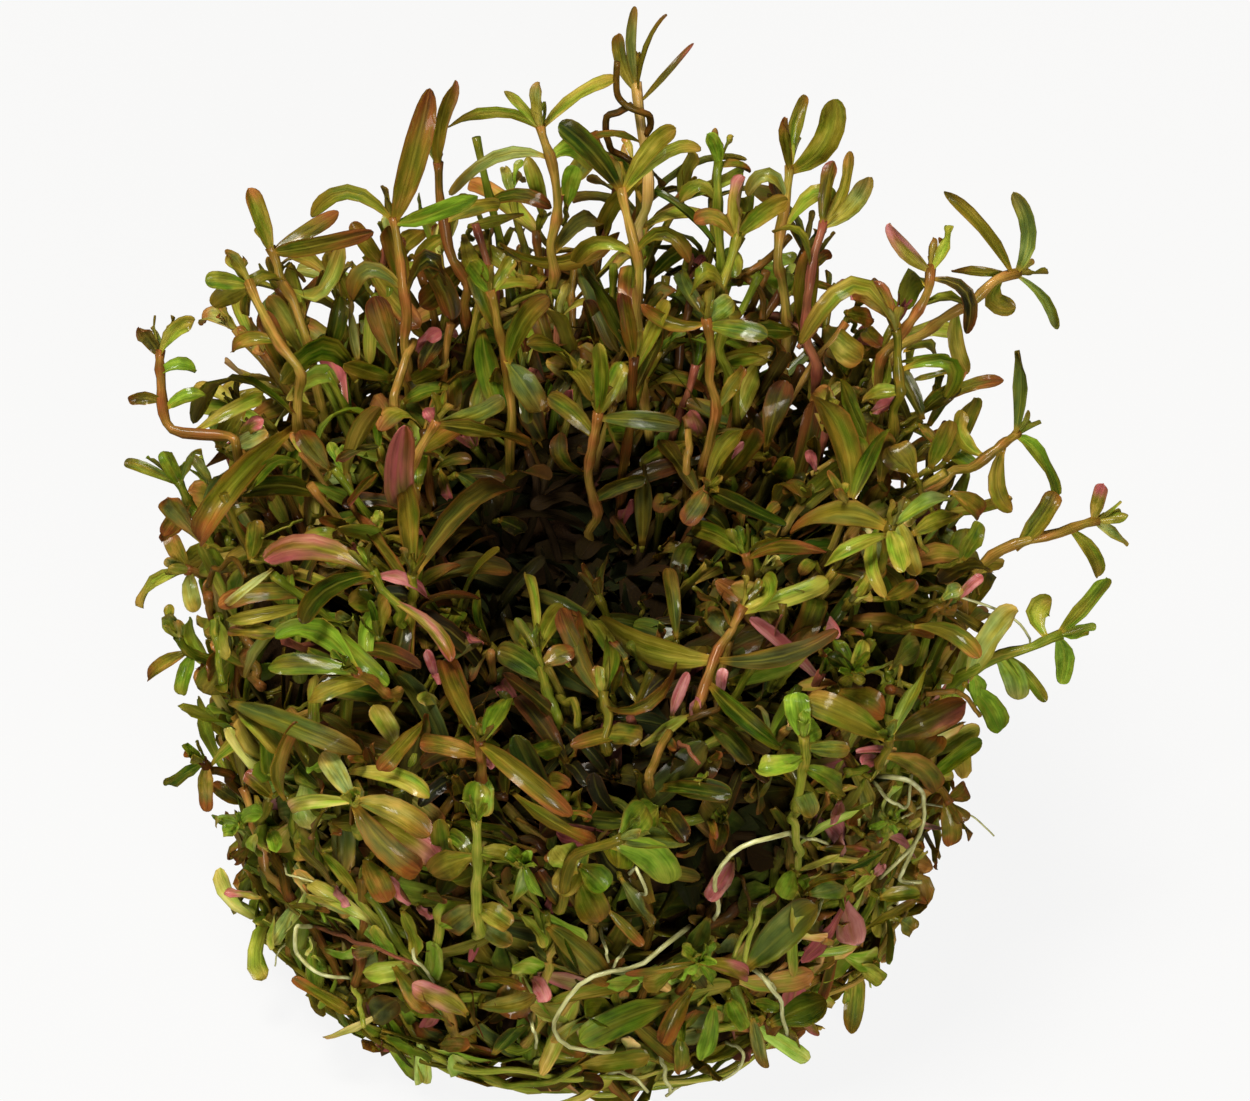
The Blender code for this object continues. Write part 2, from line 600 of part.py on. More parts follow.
def tangle_leaves(tree, pieces, material):
    """The leaves fused to the tangle, spread by the golden angle, without those that would meet a shoot or
    its socket."""
    dice = random.Random(11)
    golden = math.pi * (3 - math.sqrt(5))
    forms = []
    for i in range(PRESSED_LEAVES):
        azimuth = i * golden
        share = (i * 7) % PRESSED_LEAVES / PRESSED_LEAVES
        top = rim_height(azimuth) - 9.0
        blade = pressed_leaf(tree, azimuth, 5.0 + (top - 5.0) * share, dice)
        forms.append((blade, PRESSED_THICKNESS, PRESSED_STATIONS))
    for i in range(CROWN_LEAVES):
        azimuth = i * golden
        reach = CUP_RADIUS * math.sqrt((i + 6) / (CROWN_LEAVES + 6))
        above = Vector((reach * math.cos(azimuth), reach * math.sin(azimuth), 100))
        forms.append((crown_leaf(tree, azimuth, above, -UP, dice), CROWN_LEAF_THICKNESS, BLADE_STATIONS))
    for i in range(COLLAR_LEAVES):
        azimuth = i * golden
        away = Vector((math.cos(azimuth), math.sin(azimuth), 0))
        share = (i * 5) % COLLAR_LEAVES / COLLAR_LEAVES
        beside = away * 80 + UP * (CUP_HEIGHT - 4.0 + (rim_height(azimuth) - CUP_HEIGHT) * share)
        forms.append((crown_leaf(tree, azimuth, beside, -away, dice), CROWN_LEAF_THICKNESS, BLADE_STATIONS))
    made = []
    for i, (blade, thickness, stations) in enumerate(forms):
        grown = blade_shape(blade, thickness, PIECE_GAP, stations)
        if touches(grown, near_pieces(*ball_of(grown[0]), pieces)):
            continue
        shape = outward(*blade_shape(blade, thickness, stations=stations))
        made.append(add_object(f"tangle_leaf_{i}", *shape, material))
    return made


def rooted_path(points, tree):
    """The stem along these points, cut off where it enters the tangle, and run straight into its socket."""
    for i in range(len(points) - 1, 0, -1):
        step = points[i - 1] - points[i]
        foot, _, _, _ = tree.ray_cast(points[i], step.normalized(), step.length)
        if foot and (foot - points[i]).length > 0.2:
            lead = (points[i] - foot).normalized()
            return [foot - lead * (SOCKET_DEPTH - PIECE_GAP), foot, *points[i:]]
    raise ValueError(f"a stem to {points[-1]} that never meets the tangle")


def stem_point(path, share):
    """The point at a share of the stem's length, counted from where it leaves the tangle, with its direction."""
    visible = path[1:]
    lengths = [(b - a).length for a, b in zip(visible, visible[1:])]
    wanted = min(share * sum(lengths), sum(lengths) - TOP_NODE)
    for start, end, length in zip(visible, visible[1:], lengths):
        if wanted <= length:
            return start.lerp(end, wanted / length), (end - start).normalized()
        wanted -= length
    return visible[-1], (visible[-1] - visible[-2]).normalized()


def rooted(centre, direction, towards):
    """Where a leaf springs: inside the stem, a little past its axis from the leaf's own side."""
    out = towards - centre
    out = (out - direction * out.dot(direction)).normalized()
    return centre - out * ROOTED


def path_from_photo(shoot, tree):
    """A stem read from the photograph: its depth runs evenly from its root's to its tip's."""
    steps = len(shoot.stem)
    if shoot.root is None:
        last = max(steps - 1, 1)
        rises = [FRONT_RISE * (0.15 + 0.85 * i / last) for i in range(steps)]
        points = [sight_over(shoot.stem[0], -6.0, tree)]
        points += [sight_over(pixel, rise, tree) for pixel, rise in zip(shoot.stem, rises)]
        return rooted_path(points, tree)
    points = [Vector(shoot.root)]
    for i, pixel in enumerate(shoot.stem):
        share = (i + 1) / steps
        points.append(sight(pixel, shoot.root[1] + (shoot.depth - shoot.root[1]) * share))
    return rooted_path(points, tree)


def blades_from_photo(shoot, path, tree):
    blades = []
    for leaf in shoot.leaves:
        centre, direction = stem_point(path, leaf.at)
        if shoot.root is None:
            rise = FRONT_RISE * (0.3 + 0.55 * leaf.at) - leaf.back
            tip = sight_over(leaf.tip, rise, tree, centre.y)
            through = leaf.via and sight_over(leaf.via, rise + 1.0, tree, centre.y)
        else:
            tip = sight(leaf.tip, centre.y + leaf.back)
            through = leaf.via and sight(leaf.via, centre.y + leaf.back * 0.5)
        base = rooted(centre, direction, tip)
        middle = (base + tip) / 2
        via = middle + (through - middle) * 1.6 if through else middle + direction * 0.8
        axis = (tip - base).normalized()
        facing = axis.cross((-AHEAD).cross(axis)).normalized()
        facing = Matrix.Rotation(math.radians(leaf.turn), 3, axis) @ facing
        blades.append(Blade(base, via, tip, facing, leaf.width))
    return blades


def touches(shape, others):
    tree = tree_of(*shape)
    return any(tree.overlap(other) for other in others)


def near_pieces(middle, reach, placed):
    """The trees of the pieces whose balls come near this one."""
    return [tree for centre, radius, tree in placed if (centre - middle).length < radius + reach]


def ball_of(points):
    middle = sum(points, Vector()) / len(points)
    return middle, max((p - middle).length for p in points)


def remember(shape, placed):
    points, _ = shape
    placed.append((*ball_of(points), tree_of(*shape)))


def shorter(blade, share):
    """The first share of a blade, on the same curve."""
    via = blade.base.lerp(blade.via, share)
    return blade._replace(via=via, tip=blade_point(blade, share))


def fitted(blade, placed):
    """The blade, shortened or swung aside until it is clear of the other pieces, or None."""
    axis = (blade.tip - blade.base).normalized()
    for share in (1.0, 0.85, 0.7):
        for degrees in (0, 14, -14, 28, -28):
            for about in (blade.facing, axis.cross(blade.facing)):
                swing = Matrix.Rotation(math.radians(degrees), 3, about)
                moved = blade._replace(
                    via=blade.base + swing @ (blade.via - blade.base),
                    tip=blade.base + swing @ (blade.tip - blade.base),
                    facing=swing @ blade.facing,
                )
                moved = shorter(moved, share)
                shape = blade_shape(moved, grow=PIECE_GAP)
                middle, reach = ball_of(shape[0])
                if not touches(shape, near_pieces(middle, reach, placed)):
                    return moved
    return None


def clear_stem(shoot, path, placed):
    """The stem's path, nudged sideways until it is clear of the other stems."""
    for nudge in (0, 1.2, -1.2, 2.4, -2.4, 3.6, -3.6):
        for direction in (Vector((1, 0, 0)), Vector((0, 1, 0))):
            moved = [p + direction * nudge for p in path]
            shape = tube(moved, STEM_RADIUS + PIECE_GAP)
            middle, reach = ball_of(shape[0])
            if not touches(shape, near_pieces(middle, reach, placed)):
                return moved
    raise ValueError(f"no room for the stem of {shoot.name}")


def socket_of(path):
    """The cutter for the hole that a stem stands in."""
    lead = (path[1] - path[0]).normalized()
    ends = [path[0] - lead * PIECE_GAP, path[1] + lead * SOCKET_REACH]
    return outward(*tube(ends, STEM_RADIUS + SOCKET_CLEARANCE, taper=1.0))


def fit_blades(name, path, blades, placed):
    """The shoot's blades that find room among the other pieces, noted as placed."""
    own_middle, _ = ball_of(tube(path, STEM_RADIUS)[0])
    others = [piece for piece in placed if (piece[0] - own_middle).length > 1e-6]
    fits = []
    for i, blade in enumerate(blades):
        fit = fitted(blade, others)
        if fit is None:
            print("no room for leaf", i, "of", name)
            continue
        fits.append(fit)
        remember(blade_shape(fit), placed)
    return fits


def make_shoot(name, path, blades, material):
    """One shoot: its stem, fused with its blades."""
    stem = add_object(name, *outward(*tube(path, STEM_RADIUS, bud=BUD)), material)
    leaves = []
    for i, blade in enumerate(blades):
        leaves.append(add_object(f"{name}_leaf_{i}", *outward(*blade_shape(blade)), material))
    fuse(stem, leaves, "UNION")


def main():
    for obj in list(bpy.data.objects):
        bpy.data.objects.remove(obj)
    shoot_green = plant_material("shoot_green", (0.16, 0.20, 0.03), 0.35)
    tangle_green = plant_material("tangle_green", (0.12, 0.14, 0.03), 0.5)

    tangle = make_tangle(tangle_green)
    tree = tree_of_object(tangle)
    paths = []
    placed = []
    for shoot in SHOOTS:
        path = clear_stem(shoot, path_from_photo(shoot, tree), placed)
        paths.append(path)
        remember(tube(path, STEM_RADIUS), placed)
    placed.append((UP * CUP_HEIGHT, CUP_RADIUS * 2, tree))

    blades = []
    for shoot, path in zip(SHOOTS, paths):
        wanted = blades_from_photo(shoot, path, tree)
        blades.append(fit_blades(shoot.name, path, wanted, placed))

    pieces = [piece for piece in placed if piece[2] is not tree]
    sockets = [socket_of(path) for path in paths]
    for socket in sockets:
        remember(socket, pieces)
    fuse(tangle, tangle_leaves(tree, pieces, tangle_green), "UNION", "MANIFOLD")
    fuse(tangle, [add_object("socket", *socket, tangle_green) for socket in sockets], "DIFFERENCE",
         "MANIFOLD")
    for shoot, path, fits in zip(SHOOTS, paths, blades):
        make_shoot(shoot.name, path, fits, shoot_green)


if __name__ == "__main__":
    main()
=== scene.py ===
"""The finished dwarf rotala clump: wet leaves on orange stems, over a packed tangle with pale roots.

Lengths are in millimetres until a mesh is made. Where a leaf, a stem or a root was read from the
photograph, its row holds pixels of the 1250 x 1101 photograph, and it is set on what carries it there.
"""

import math
import random

import bpy
import numpy as np
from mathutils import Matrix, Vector, noise
from mathutils.bvhtree import BVHTree


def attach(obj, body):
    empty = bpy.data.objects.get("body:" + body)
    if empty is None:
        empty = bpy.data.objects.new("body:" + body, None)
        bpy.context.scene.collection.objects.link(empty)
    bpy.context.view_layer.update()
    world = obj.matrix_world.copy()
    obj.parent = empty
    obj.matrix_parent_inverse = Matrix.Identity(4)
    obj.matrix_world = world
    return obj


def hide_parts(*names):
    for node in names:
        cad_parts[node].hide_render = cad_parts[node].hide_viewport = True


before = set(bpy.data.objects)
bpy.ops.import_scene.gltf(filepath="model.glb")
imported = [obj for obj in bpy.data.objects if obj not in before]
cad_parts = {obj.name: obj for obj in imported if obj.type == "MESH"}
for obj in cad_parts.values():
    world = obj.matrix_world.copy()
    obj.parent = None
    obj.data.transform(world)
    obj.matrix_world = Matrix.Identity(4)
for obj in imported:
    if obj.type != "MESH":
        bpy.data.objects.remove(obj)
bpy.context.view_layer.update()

MM = 0.001
UP = Vector((0, 0, 1))
GOLDEN = math.pi * (3 - math.sqrt(5))

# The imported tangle's outer form, as the solid has it.
CUP_RADIUS = 32.0
CUP_HEIGHT = 34.0
FLARE = 1.5
FLAT_SPOT_RADIUS = 21.0
BOTTOM_ROUNDING = CUP_RADIUS - FLAT_SPOT_RADIUS
CROWN_LEAN = 2.0
CROWN_FRONT = 41.0
CROWN_BACK = 60.0
CROWN_SIDES = 54.0
HOLLOW_FLOOR = 38.0
HOLLOW_RADIUS = 17.0
TANGLE_FACETS = 30
LUMP_SIZE = 9.0
LUMP_HEIGHT = 1.7

# How far front shoots stand off the tangle, how far below a stem's tip its top leaves spring, and how far a
# stem runs on inside the tangle.
FRONT_RISE = 6.5
TOP_NODE = 0.5
SUNK = 5.0

# Where the photograph was taken from.
VIEW_ELEVATION = math.radians(38)
VIEW_DISTANCE = 500.0
VIEW_AIM = Vector((4.0, 6.0, 37.5))
PHOTO_CENTRE = (625.0, 550.5)
PHOTO_WIDTH = 1250.0
PIXELS_PER_MM = 11.1
AHEAD = Vector((0, math.cos(VIEW_ELEVATION), -math.sin(VIEW_ELEVATION)))
PHOTO_UP = Vector((0, math.sin(VIEW_ELEVATION), math.cos(VIEW_ELEVATION)))
EYE = VIEW_AIM - AHEAD * VIEW_DISTANCE

# A leaf's colour: how light it is, how far it has turned red-brown, how fresh its green is, how pink.
TINTS = {
    "dark": (0.26, 0.10, 0.65, 0.0),
    "deep": (0.20, 0.55, 0.10, 0.0),
    "green": (0.48, 0.05, 0.80, 0.0),
    "olive": (0.50, 0.28, 0.25, 0.0),
    "yellow": (0.66, 0.16, 0.40, 0.0),
    "bright": (0.63, 0.00, 1.10, 0.0),
    "brown": (0.46, 0.75, 0.05, 0.0),
    "red": (0.42, 1.00, 0.00, 0.2),
    "pink": (0.62, 0.45, 0.05, 1.0),
    "blushed": (0.58, 0.45, 0.10, 0.5),
    "grey": (0.38, 0.35, 0.10, 0.25),
    "dim": (0.36, 0.34, 0.22, 0.0),
    "fern": (0.44, 0.00, 1.40, 0.0),
    "pale": (0.80, 0.25, 0.20, 0.1),
}

# A stem's colour in the same terms.
STEM_TINTS = {
    "tan": (0.64, 0.50, 0.04, 0.03),
    "orange": (0.58, 0.74, 0.00, 0.03),
    "olive": (0.52, 0.22, 0.25, 0.0),
    "red": (0.46, 0.90, 0.00, 0.35),
    "green": (0.54, 0.08, 0.60, 0.0),
    "pale": (0.70, 0.12, 0.40, 0.0),
    "brown": (0.32, 0.75, 0.00, 0.0),
    "peach": (0.80, 0.46, 0.00, 0.10),
}

# Shoots read from the photograph. A row is the name, the root inside the tangle and the tip's y (neither,
# where it rises from the tangle's face), the stem's tint, the leaves' tint and the stem's pixels. A leaf is
# its share of the way up the stem, its tip's pixel, its width, and where they are needed the pixel that it
# leans through, how far its tip lies behind the stem, and its own tint.
SHOOTS = [
    ("shoot_tallest", (4, 20, 34), 27, "peach", "olive", [(640, 285), (643, 150), (636, 82)], [
        (1.0, (635, 6), 1.1),
        (0.95, (619, 33), 1.2, (618, 62)),
        (0.93, (667, 14), 0.6, (641, 42), 0, "grey"),
        (0.9, (694, 43), 0.8, (662, 82), 2, "grey"),
        (0.72, (584, 141), 0.9, (612, 132), -3, "brown"),
        (0.55, (600, 240), 1.8, (612, 205), 3),
    ]),
    ("shoot_star_back", (-4, 22, 34), 25, "tan", "yellow", [(556, 240), (553, 178), (540, 125)], [
        (1.0, (539, 82), 1.4),
        (1.0, (447, 128), 1.2, (500, 106), 0, "olive"),
        (1.0, (504, 91), 0.9),
        (1.0, (618, 79), 1.6),
        (0.8, (449, 195), 1.2, (500, 146), 2),
        (0.78, (592, 168), 1.8, (574, 140), 3, "bright"),
    ]),
    ("shoot_dark_green", (7, 13, 34), 19, "tan", "olive", [(638, 290), (630, 227), (621, 188)], [
        (1.0, (559, 123), 2.1, None, 0, "dark"),
        (1.0, (676, 128), 1.7),
        (0.97, (701, 149), 1.2, (666, 150), 3, "yellow"),
        (0.7, (574, 262), 1.8, (598, 236), 2),
        (0.7, (690, 262), 1.7, (668, 226), -2),
    ]),
    ("shoot_small_back", (13, 19, 34), 24, "green", "yellow", [(719, 241), (717, 184), (719, 162)], [
        (1.0, (707, 134), 1.5, None, 0, "bright"),
        (1.0, (751, 172), 1.3, None, 0, "brown"),
        (0.72, (680, 202), 1.3, (700, 182)),
        (0.6, (757, 222), 1.5),
    ]),
    ("shoot_cup_back_right", (19, 17, 34), 23, "tan", "yellow", [(783, 245), (787, 196), (790, 166)], [
        (1.0, (806, 95), 1.5, None, 3, "olive"),
        (1.0, (786, 118), 1.5, None, -2, "brown"),
        (1.0, (833, 99), 2.4, (824, 142), 0, "olive"),
        (0.75, (747, 196), 1.6, (768, 172)),
        (0.6, (838, 200), 1.6, (812, 186)),
    ]),
    ("shoot_red_stem", (23, 11, 34), 18, "red", "olive", [(805, 292), (815, 250), (824, 222)], [
        (1.0, (834, 161), 1.5, None, 2, "grey"),
        (1.0, (849, 151), 1.3, (842, 190), 4),
        (1.0, (868, 177), 1.8, (848, 208), 0, "yellow"),
        (0.7, (772, 232), 1.4, (798, 228)),
    ]),
    ("shoot_brown_cluster", (13, 12, 34), 17, "pale", "olive", [(729, 275), (738, 232)], [
        (1.0, (744, 176), 2.4, (733, 204), 0, "blushed"),
        (1.0, (788, 199), 2.0),
        (0.95, (694, 222), 1.5, (716, 214), 0, "brown"),
        (0.6, (690, 296), 1.8, (708, 262), -2),
    ]),
    ("shoot_left_tall", (-21, 9, 34), 15, "tan", "olive", [(314, 356), (294, 303), (270, 247)], [
        (1.0, (248, 188), 2.1),
        (1.0, (374, 232), 1.7, (310, 248), -2, "brown"),
        (0.97, (339, 212), 1.5, (302, 236), 2, "brown"),
        (0.7, (341, 240), 1.7, (322, 296), 3, "yellow"),
        (0.75, (248, 316), 2.0, (256, 280), -2),
    ]),
    ("shoot_round_left", (-24, 3, 34), 10, "tan", "olive", [(296, 372), (262, 312), (248, 281)], [
        (1.0, (205, 281), 2.0, None, 0, "green"),
        (0.95, (212, 306), 2.1),
        (1.0, (226, 253), 1.1),
        (0.6, (232, 352), 1.9, (252, 340), 0, "brown"),
    ]),
    ("shoot_far_left", (-27, -3, 34), 5, "orange", "yellow",
     [(236, 446), (172, 424), (160, 385), (160, 350)], [
        (1.0, (140, 329), 1.5, None, 0, "grey"),
        (1.0, (194, 322), 1.8, (176, 324)),
        (0.85, (196, 372), 2.0, None, 0, "bright"),
        (0.66, (128, 400), 1.5, None, 0, "brown"),
        (0.62, (206, 396), 1.7, None, 0, "bright"),
        (0.35, (262, 396), 1.7, (236, 404), 3),
    ]),
    ("shoot_thin_left", (-31, -6, 31), -3, "green", "green", [(203, 530), (178, 481)], [
        (1.0, (124, 463), 1.3, (146, 464)),
        (1.0, (163, 451), 1.5),
        (0.95, (202, 450), 1.3, (186, 458)),
        (0.4, (163, 536), 1.4, None, 0, "brown"),
    ]),
    ("shoot_brown_tip", (-10, 19, 34), 24, "orange", "olive", [(462, 285), (446, 223), (438, 162)], [
        (1.0, (456, 80), 1.7, (436, 124), 0, "grey"),
        (0.6, (500, 205), 1.5, (474, 204), 2),
        (0.5, (418, 262), 1.5),
    ]),
    ("shoot_arching_left", (-15, 12, 34), 18, "orange", "olive", [(405, 292), (393, 217)], [
        (1.0, (430, 88), 2.6, (404, 160), 2, "brown"),
        (1.0, (311, 217), 1.4, (348, 186)),
        (1.0, (478, 196), 1.6, (430, 218), -2, "green"),
        (0.55, (352, 300), 1.8, (366, 262)),
        (0.5, (446, 286), 1.9, (428, 250), -2, "deep"),
    ]),
    ("shoot_folded_pink", (25, 7, 34), 13, "orange", "brown", [(886, 352), (926, 290), (931, 266)], [
        (1.0, (889, 223), 1.9, (908, 252), 0, "blushed"),
        (0.95, (950, 225), 1.1, (944, 246), 2, "yellow"),
        (0.9, (966, 334), 1.3, (974, 286), -2, "deep"),
        (0.5, (852, 296), 1.6, (876, 300)),
    ]),
    ("shoot_star_right", (26, 12, 34), 18, "tan", "olive",
     [(893, 362), (941, 318), (1004, 279), (1018, 273)], [
        (1.0, (1013, 192), 1.6, (1028, 236), 0, "green"),
        (0.94, (944, 191), 1.5, (986, 222)),
        (1.0, (1055, 329), 1.2, (1050, 292), 0, "green"),
        (0.92, (951, 271), 0.9, None, 0, "brown"),
        (0.85, (1016, 308), 1.9, (990, 300)),
        (0.5, (968, 374), 1.6, (950, 344), -2),
    ]),
    ("shoot_arc_right", (24, 2, 34), 6, "olive", "olive", [(902, 395), (896, 330)], [
        (1.0, (800, 345), 1.6, (858, 268), -3),
        (1.0, (872, 282), 1.5, None, 3, "red"),
        (0.6, (945, 398), 1.8, (958, 352), 0, "green"),
        (0.4, (862, 402), 1.9),
    ]),
    ("shoot_upright_right", (29, -2, 34), 3, "tan", "green", [(930, 486), (1004, 447), (1018, 433)], [
        (1.0, (1018, 350), 1.5),
        (1.0, (1058, 496), 1.4, (1042, 446)),
        (0.7, (1012, 512), 1.8, (992, 488), -2, "olive"),
        (0.45, (962, 410), 1.8, (958, 440), 3, "olive"),
    ]),
    ("shoot_far_right", (31, -6, 32), -2, "tan", "yellow", [(1000, 556), (1066, 528), (1098, 520)], [
        (1.0, (1103, 484), 1.3, None, 0, "blushed"),
        (1.0, (1128, 546), 1.1),
        (0.85, (1098, 577), 1.8, None, 0, "olive"),
        (0.6, (1056, 492), 1.9, (1040, 516), 2, "olive"),
    ]),
    ("shoot_bright_right", (30, -10, 30), -8, "green", "bright", [(985, 660), (1030, 645), (1062, 634)], [
        (1.0, (1107, 578), 1.6, None, 0, "green"),
        (0.9, (1052, 600), 2.6, (1030, 612), 2, "yellow"),
        (0.3, (1018, 610), 2.8, None, 1, "yellow"),
        (0.6, (1046, 702), 1.3, None, 0, "green"),
        (0.25, (1000, 732), 2.6, (984, 704)),
        (1.0, (1060, 684), 1.8),
        (0.55, (1018, 700), 2.2),
        (0.35, (978, 704), 2.0),
    ]),
    ("shoot_orange_low_right", (26, -8, 20), -10, "orange", "brown", [(938, 790), (950, 804)], [
        (1.0, (972, 834), 2.0),
        (1.0, (950, 846), 2.0, None, -2),
        (0.9, (966, 786), 1.8, None, 3),
    ]),
    ("shoot_hook_left", (-28, 1, 33), -1, "orange", "yellow", [(203, 572), (186, 570)], [
        (1.0, (141, 608), 1.5, (156, 576)),
        (0.9, (170, 534), 1.6, None, 2, "brown"),
        (0.8, (196, 612), 1.6, None, -3),
    ]),
    ("shoot_round_low_left", (-27, -5, 26), -7, "green", "yellow", [(204, 662), (188, 652), (178, 636)], [
        (1.0, (168, 614), 2.2, None, 0, "green"),
        (0.6, (148, 679), 1.7, None, 0, "brown"),
        (0.5, (182, 695), 1.8, None, -2, "bright"),
    ]),
    ("shoot_low_left", (-26, -8, 17), -10, "brown", "green", [(212, 768), (202, 760)], [
        (1.0, (166, 786), 1.3, None, 2),
        (1.0, (184, 752), 1.5, None, 0, "brown"),
        (0.8, (206, 812), 1.6, None, -2, "brown"),
    ]),
    ("shoot_curly_front", None, None, "orange", "olive", [(700, 706), (718, 655), (744, 606)], [
        (1.0, (764, 576), 2.2, (772, 596), 0, "yellow"),
        (0.95, (828, 580), 1.7, (796, 590), 2, "yellow"),
        (0.5, (602, 622), 3.1, (654, 646), 0, "olive"),
        (0.5, (838, 630), 2.0, (782, 656), -2, "dim"),
        (0.3, (780, 746), 2.0, (744, 724), -3, "dark"),
    ]),
    ("shoot_bright_chain", None, None, "pale", "bright", [(796, 806), (804, 768), (804, 736)], [
        (1.0, (796, 692), 2.2),
        (0.95, (820, 728), 2.0, None, 2),
        (0.75, (758, 770), 2.4, (782, 768), -2),
        (0.6, (842, 790), 2.0, (822, 776), 0, "green"),
    ]),
    ("shoot_orange_node_front", None, None, "orange", "olive", [(484, 776), (480, 740)], [
        (1.0, (442, 660), 2.2, None, 2, "brown"),
        (0.9, (572, 816), 2.1, (522, 762), -3, "brown"),
        (1.0, (506, 700), 1.8, None, 0, "green"),
        (0.6, (420, 742), 1.8, (448, 748), 0, "brown"),
    ]),
    ("shoot_bright_tuft", None, None, "green", "green", [(560, 722), (536, 650)], [
        (1.0, (526, 574), 1.0, (532, 604), 0, "yellow"),
        (1.0, (564, 606), 1.8, None, 0, "yellow"),
        (0.6, (497, 650), 2.3),
        (0.8, (574, 650), 2.0, None, -3, "brown"),
    ]),
    ("shoot_olive_tuft", None, None, "olive", "yellow", [(606, 750), (603, 692)], [
        (1.0, (578, 616), 2.2, (580, 650), 0, "brown"),
        (1.0, (606, 640), 1.9, None, -2, "green"),
        (0.8, (677, 662), 1.4, (650, 714), -2, "red"),
        (0.4, (642, 738), 2.1, None, 0, "olive"),
    ]),
    ("shoot_round_leaves", None, None, "olive", "green", [(560, 905), (584, 856), (622, 838)], [
        (1.0, (646, 806), 3.2),
        (1.0, (686, 842), 2.6, None, 3),
        (0.9, (668, 884), 3.0, (652, 858), 0, "bright"),
        (0.55, (606, 890), 2.8, None, -2),
        (0.45, (556, 846), 2.8, None, 0, "yellow"),
    ]),
    ("shoot_pale_stem", None, None, "pale", "green", [(478, 935), (476, 880), (476, 820)], [
        (1.0, (478, 782), 2.8),
        (0.75, (520, 868), 2.6, None, 0, "yellow"),
        (0.72, (432, 874), 2.6, None, 0, "olive"),
        (0.3, (446, 930), 2.3, None, 0, "olive"),
        (0.3, (510, 926), 2.2, None, 0, "yellow"),
    ]),
    ("shoot_star_front_left", None, None, "pale", "yellow", [(360, 830), (354, 800)], [
        (1.0, (290, 808), 1.5, None, 0, "pale"),
        (1.0, (430, 836), 2.4, None, 0, "olive"),
        (0.9, (420, 872), 2.6, (390, 846), -2, "brown"),
        (1.0, (322, 752), 1.9, None, 3),
    ]),
    ("shoot_green_left", None, None, "green", "green", [(404, 622), (372, 570)], [
        (1.0, (264, 560), 2.3, (316, 546), 0, "blushed"),
        (0.95, (302, 624), 1.9, (322, 590), -2, "dark"),
        (0.9, (430, 600), 1.7, None, 2, "pink"),
        (0.5, (450, 662), 1.7, (436, 632), -2, "blushed"),
    ]),
    ("shoot_big_blade", None, None, "olive", "olive", [(412, 608), (412, 574)], [
        (1.0, (516, 490), 2.7, None, 0, "deep"),
        (1.0, (404, 486), 2.2, None, 2),
        (0.6, (350, 506), 1.9, (372, 544), 3, "red"),
    ]),
    ("shoot_centre_whorl", (1, 6, 34), 7, "orange", "olive", [(592, 482), (596, 432), (598, 412)], [
        (1.0, (598, 343), 1.6, None, 0, "yellow"),
        (1.0, (623, 362), 1.7, None, 2, "yellow"),
        (0.95, (680, 426), 1.8, None, 0, "green"),
        (0.8, (548, 396), 1.8, None, 2),
        (0.3, (646, 478), 1.7, None, 0, "green"),
    ]),
    ("shoot_dark_right", None, None, "orange", "olive", [(694, 500), (708, 488)], [
        (1.0, (750, 426), 2.5, (722, 446)),
        (1.0, (684, 524), 2.0, None, -3, "brown"),
        (1.0, (786, 526), 1.7, (742, 500), 0, "dark"),
        (0.4, (660, 440), 1.8, None, 3),
    ]),
    ("shoot_big_oval", None, None, "olive", "olive", [(880, 570), (892, 524)], [
        (1.0, (790, 534), 3.0, (838, 508)),
        (1.0, (952, 500), 2.0, None, 2, "bright"),
        (0.9, (904, 572), 1.8, None, -3, "yellow"),
        (0.8, (824, 566), 1.4, (858, 548), -3, "yellow"),
    ]),
    ("shoot_low_green_right", None, None, "olive", "green", [(880, 770), (888, 737)], [
        (1.0, (806, 700), 2.6, (846, 706), 0, "olive"),
        (1.0, (966, 702), 2.8, (926, 726), 0, "grey"),
        (0.9, (930, 664), 2.1, None, 3),
        (0.5, (936, 792), 2.1, (916, 768), -3, "brown"),
    ]),
    ("shoot_bright_node", (8, 8, 34), 10, "orange", "olive", [(717, 411), (714, 372), (706, 318)], [
        (1.0, (641, 304), 1.7, (672, 326), 0, "brown"),
        (1.0, (733, 300), 2.0, None, 2, "bright"),
        (0.95, (768, 336), 1.9, None, -2, "green"),
        (0.4, (745, 368), 1.5),
    ]),
    ("shoot_hanging_leaf", (-7, 10, 34), 13, "tan", "olive", [(512, 400), (502, 338), (490, 290)], [
        (0.6, (541, 412), 2.6, None, -2, "green"),
        (0.55, (549, 297), 2.0),
        (1.0, (470, 262), 1.8, None, 0, "green"),
        (1.0, (512, 258), 1.6, None, 2, "yellow"),
    ]),
    ("shoot_red_folded", (3, 8, 34), 9, "brown", "olive", [(632, 420), (634, 356)], [
        (1.0, (583, 265), 2.5, None, 2, "dark"),
        (1.0, (622, 293), 1.7, None, -2, "red"),
        (0.9, (668, 300), 1.7, None, 2),
    ]),
    ("shoot_pink_upright", (-12, 0, 34), 0, "orange", "olive", [(410, 556), (422, 450), (437, 420)], [
        (1.0, (504, 398), 1.6, (478, 416), 0, "green"),
        (0.95, (531, 443), 1.7, (484, 430), -2),
        (1.0, (425, 408), 1.4, None, 0, "pink"),
        (0.15, (404, 425), 2.8, (390, 490), -2, "blushed"),
    ]),
    ("shoot_orange_node_right", None, None, "orange", "green", [(753, 578), (745, 552)], [
        (1.0, (692, 527), 1.9),
        (1.0, (791, 539), 1.7, None, 2, "olive"),
        (0.8, (827, 553), 1.3, None, -2, "red"),
    ]),
    ("shoot_long_leaf", None, None, "brown", "olive", [(862, 524), (848, 502)], [
        (1.0, (812, 394), 2.9, (838, 440), 0, "dim"),
        (0.9, (886, 430), 2.0, None, 2, "dark"),
    ]),
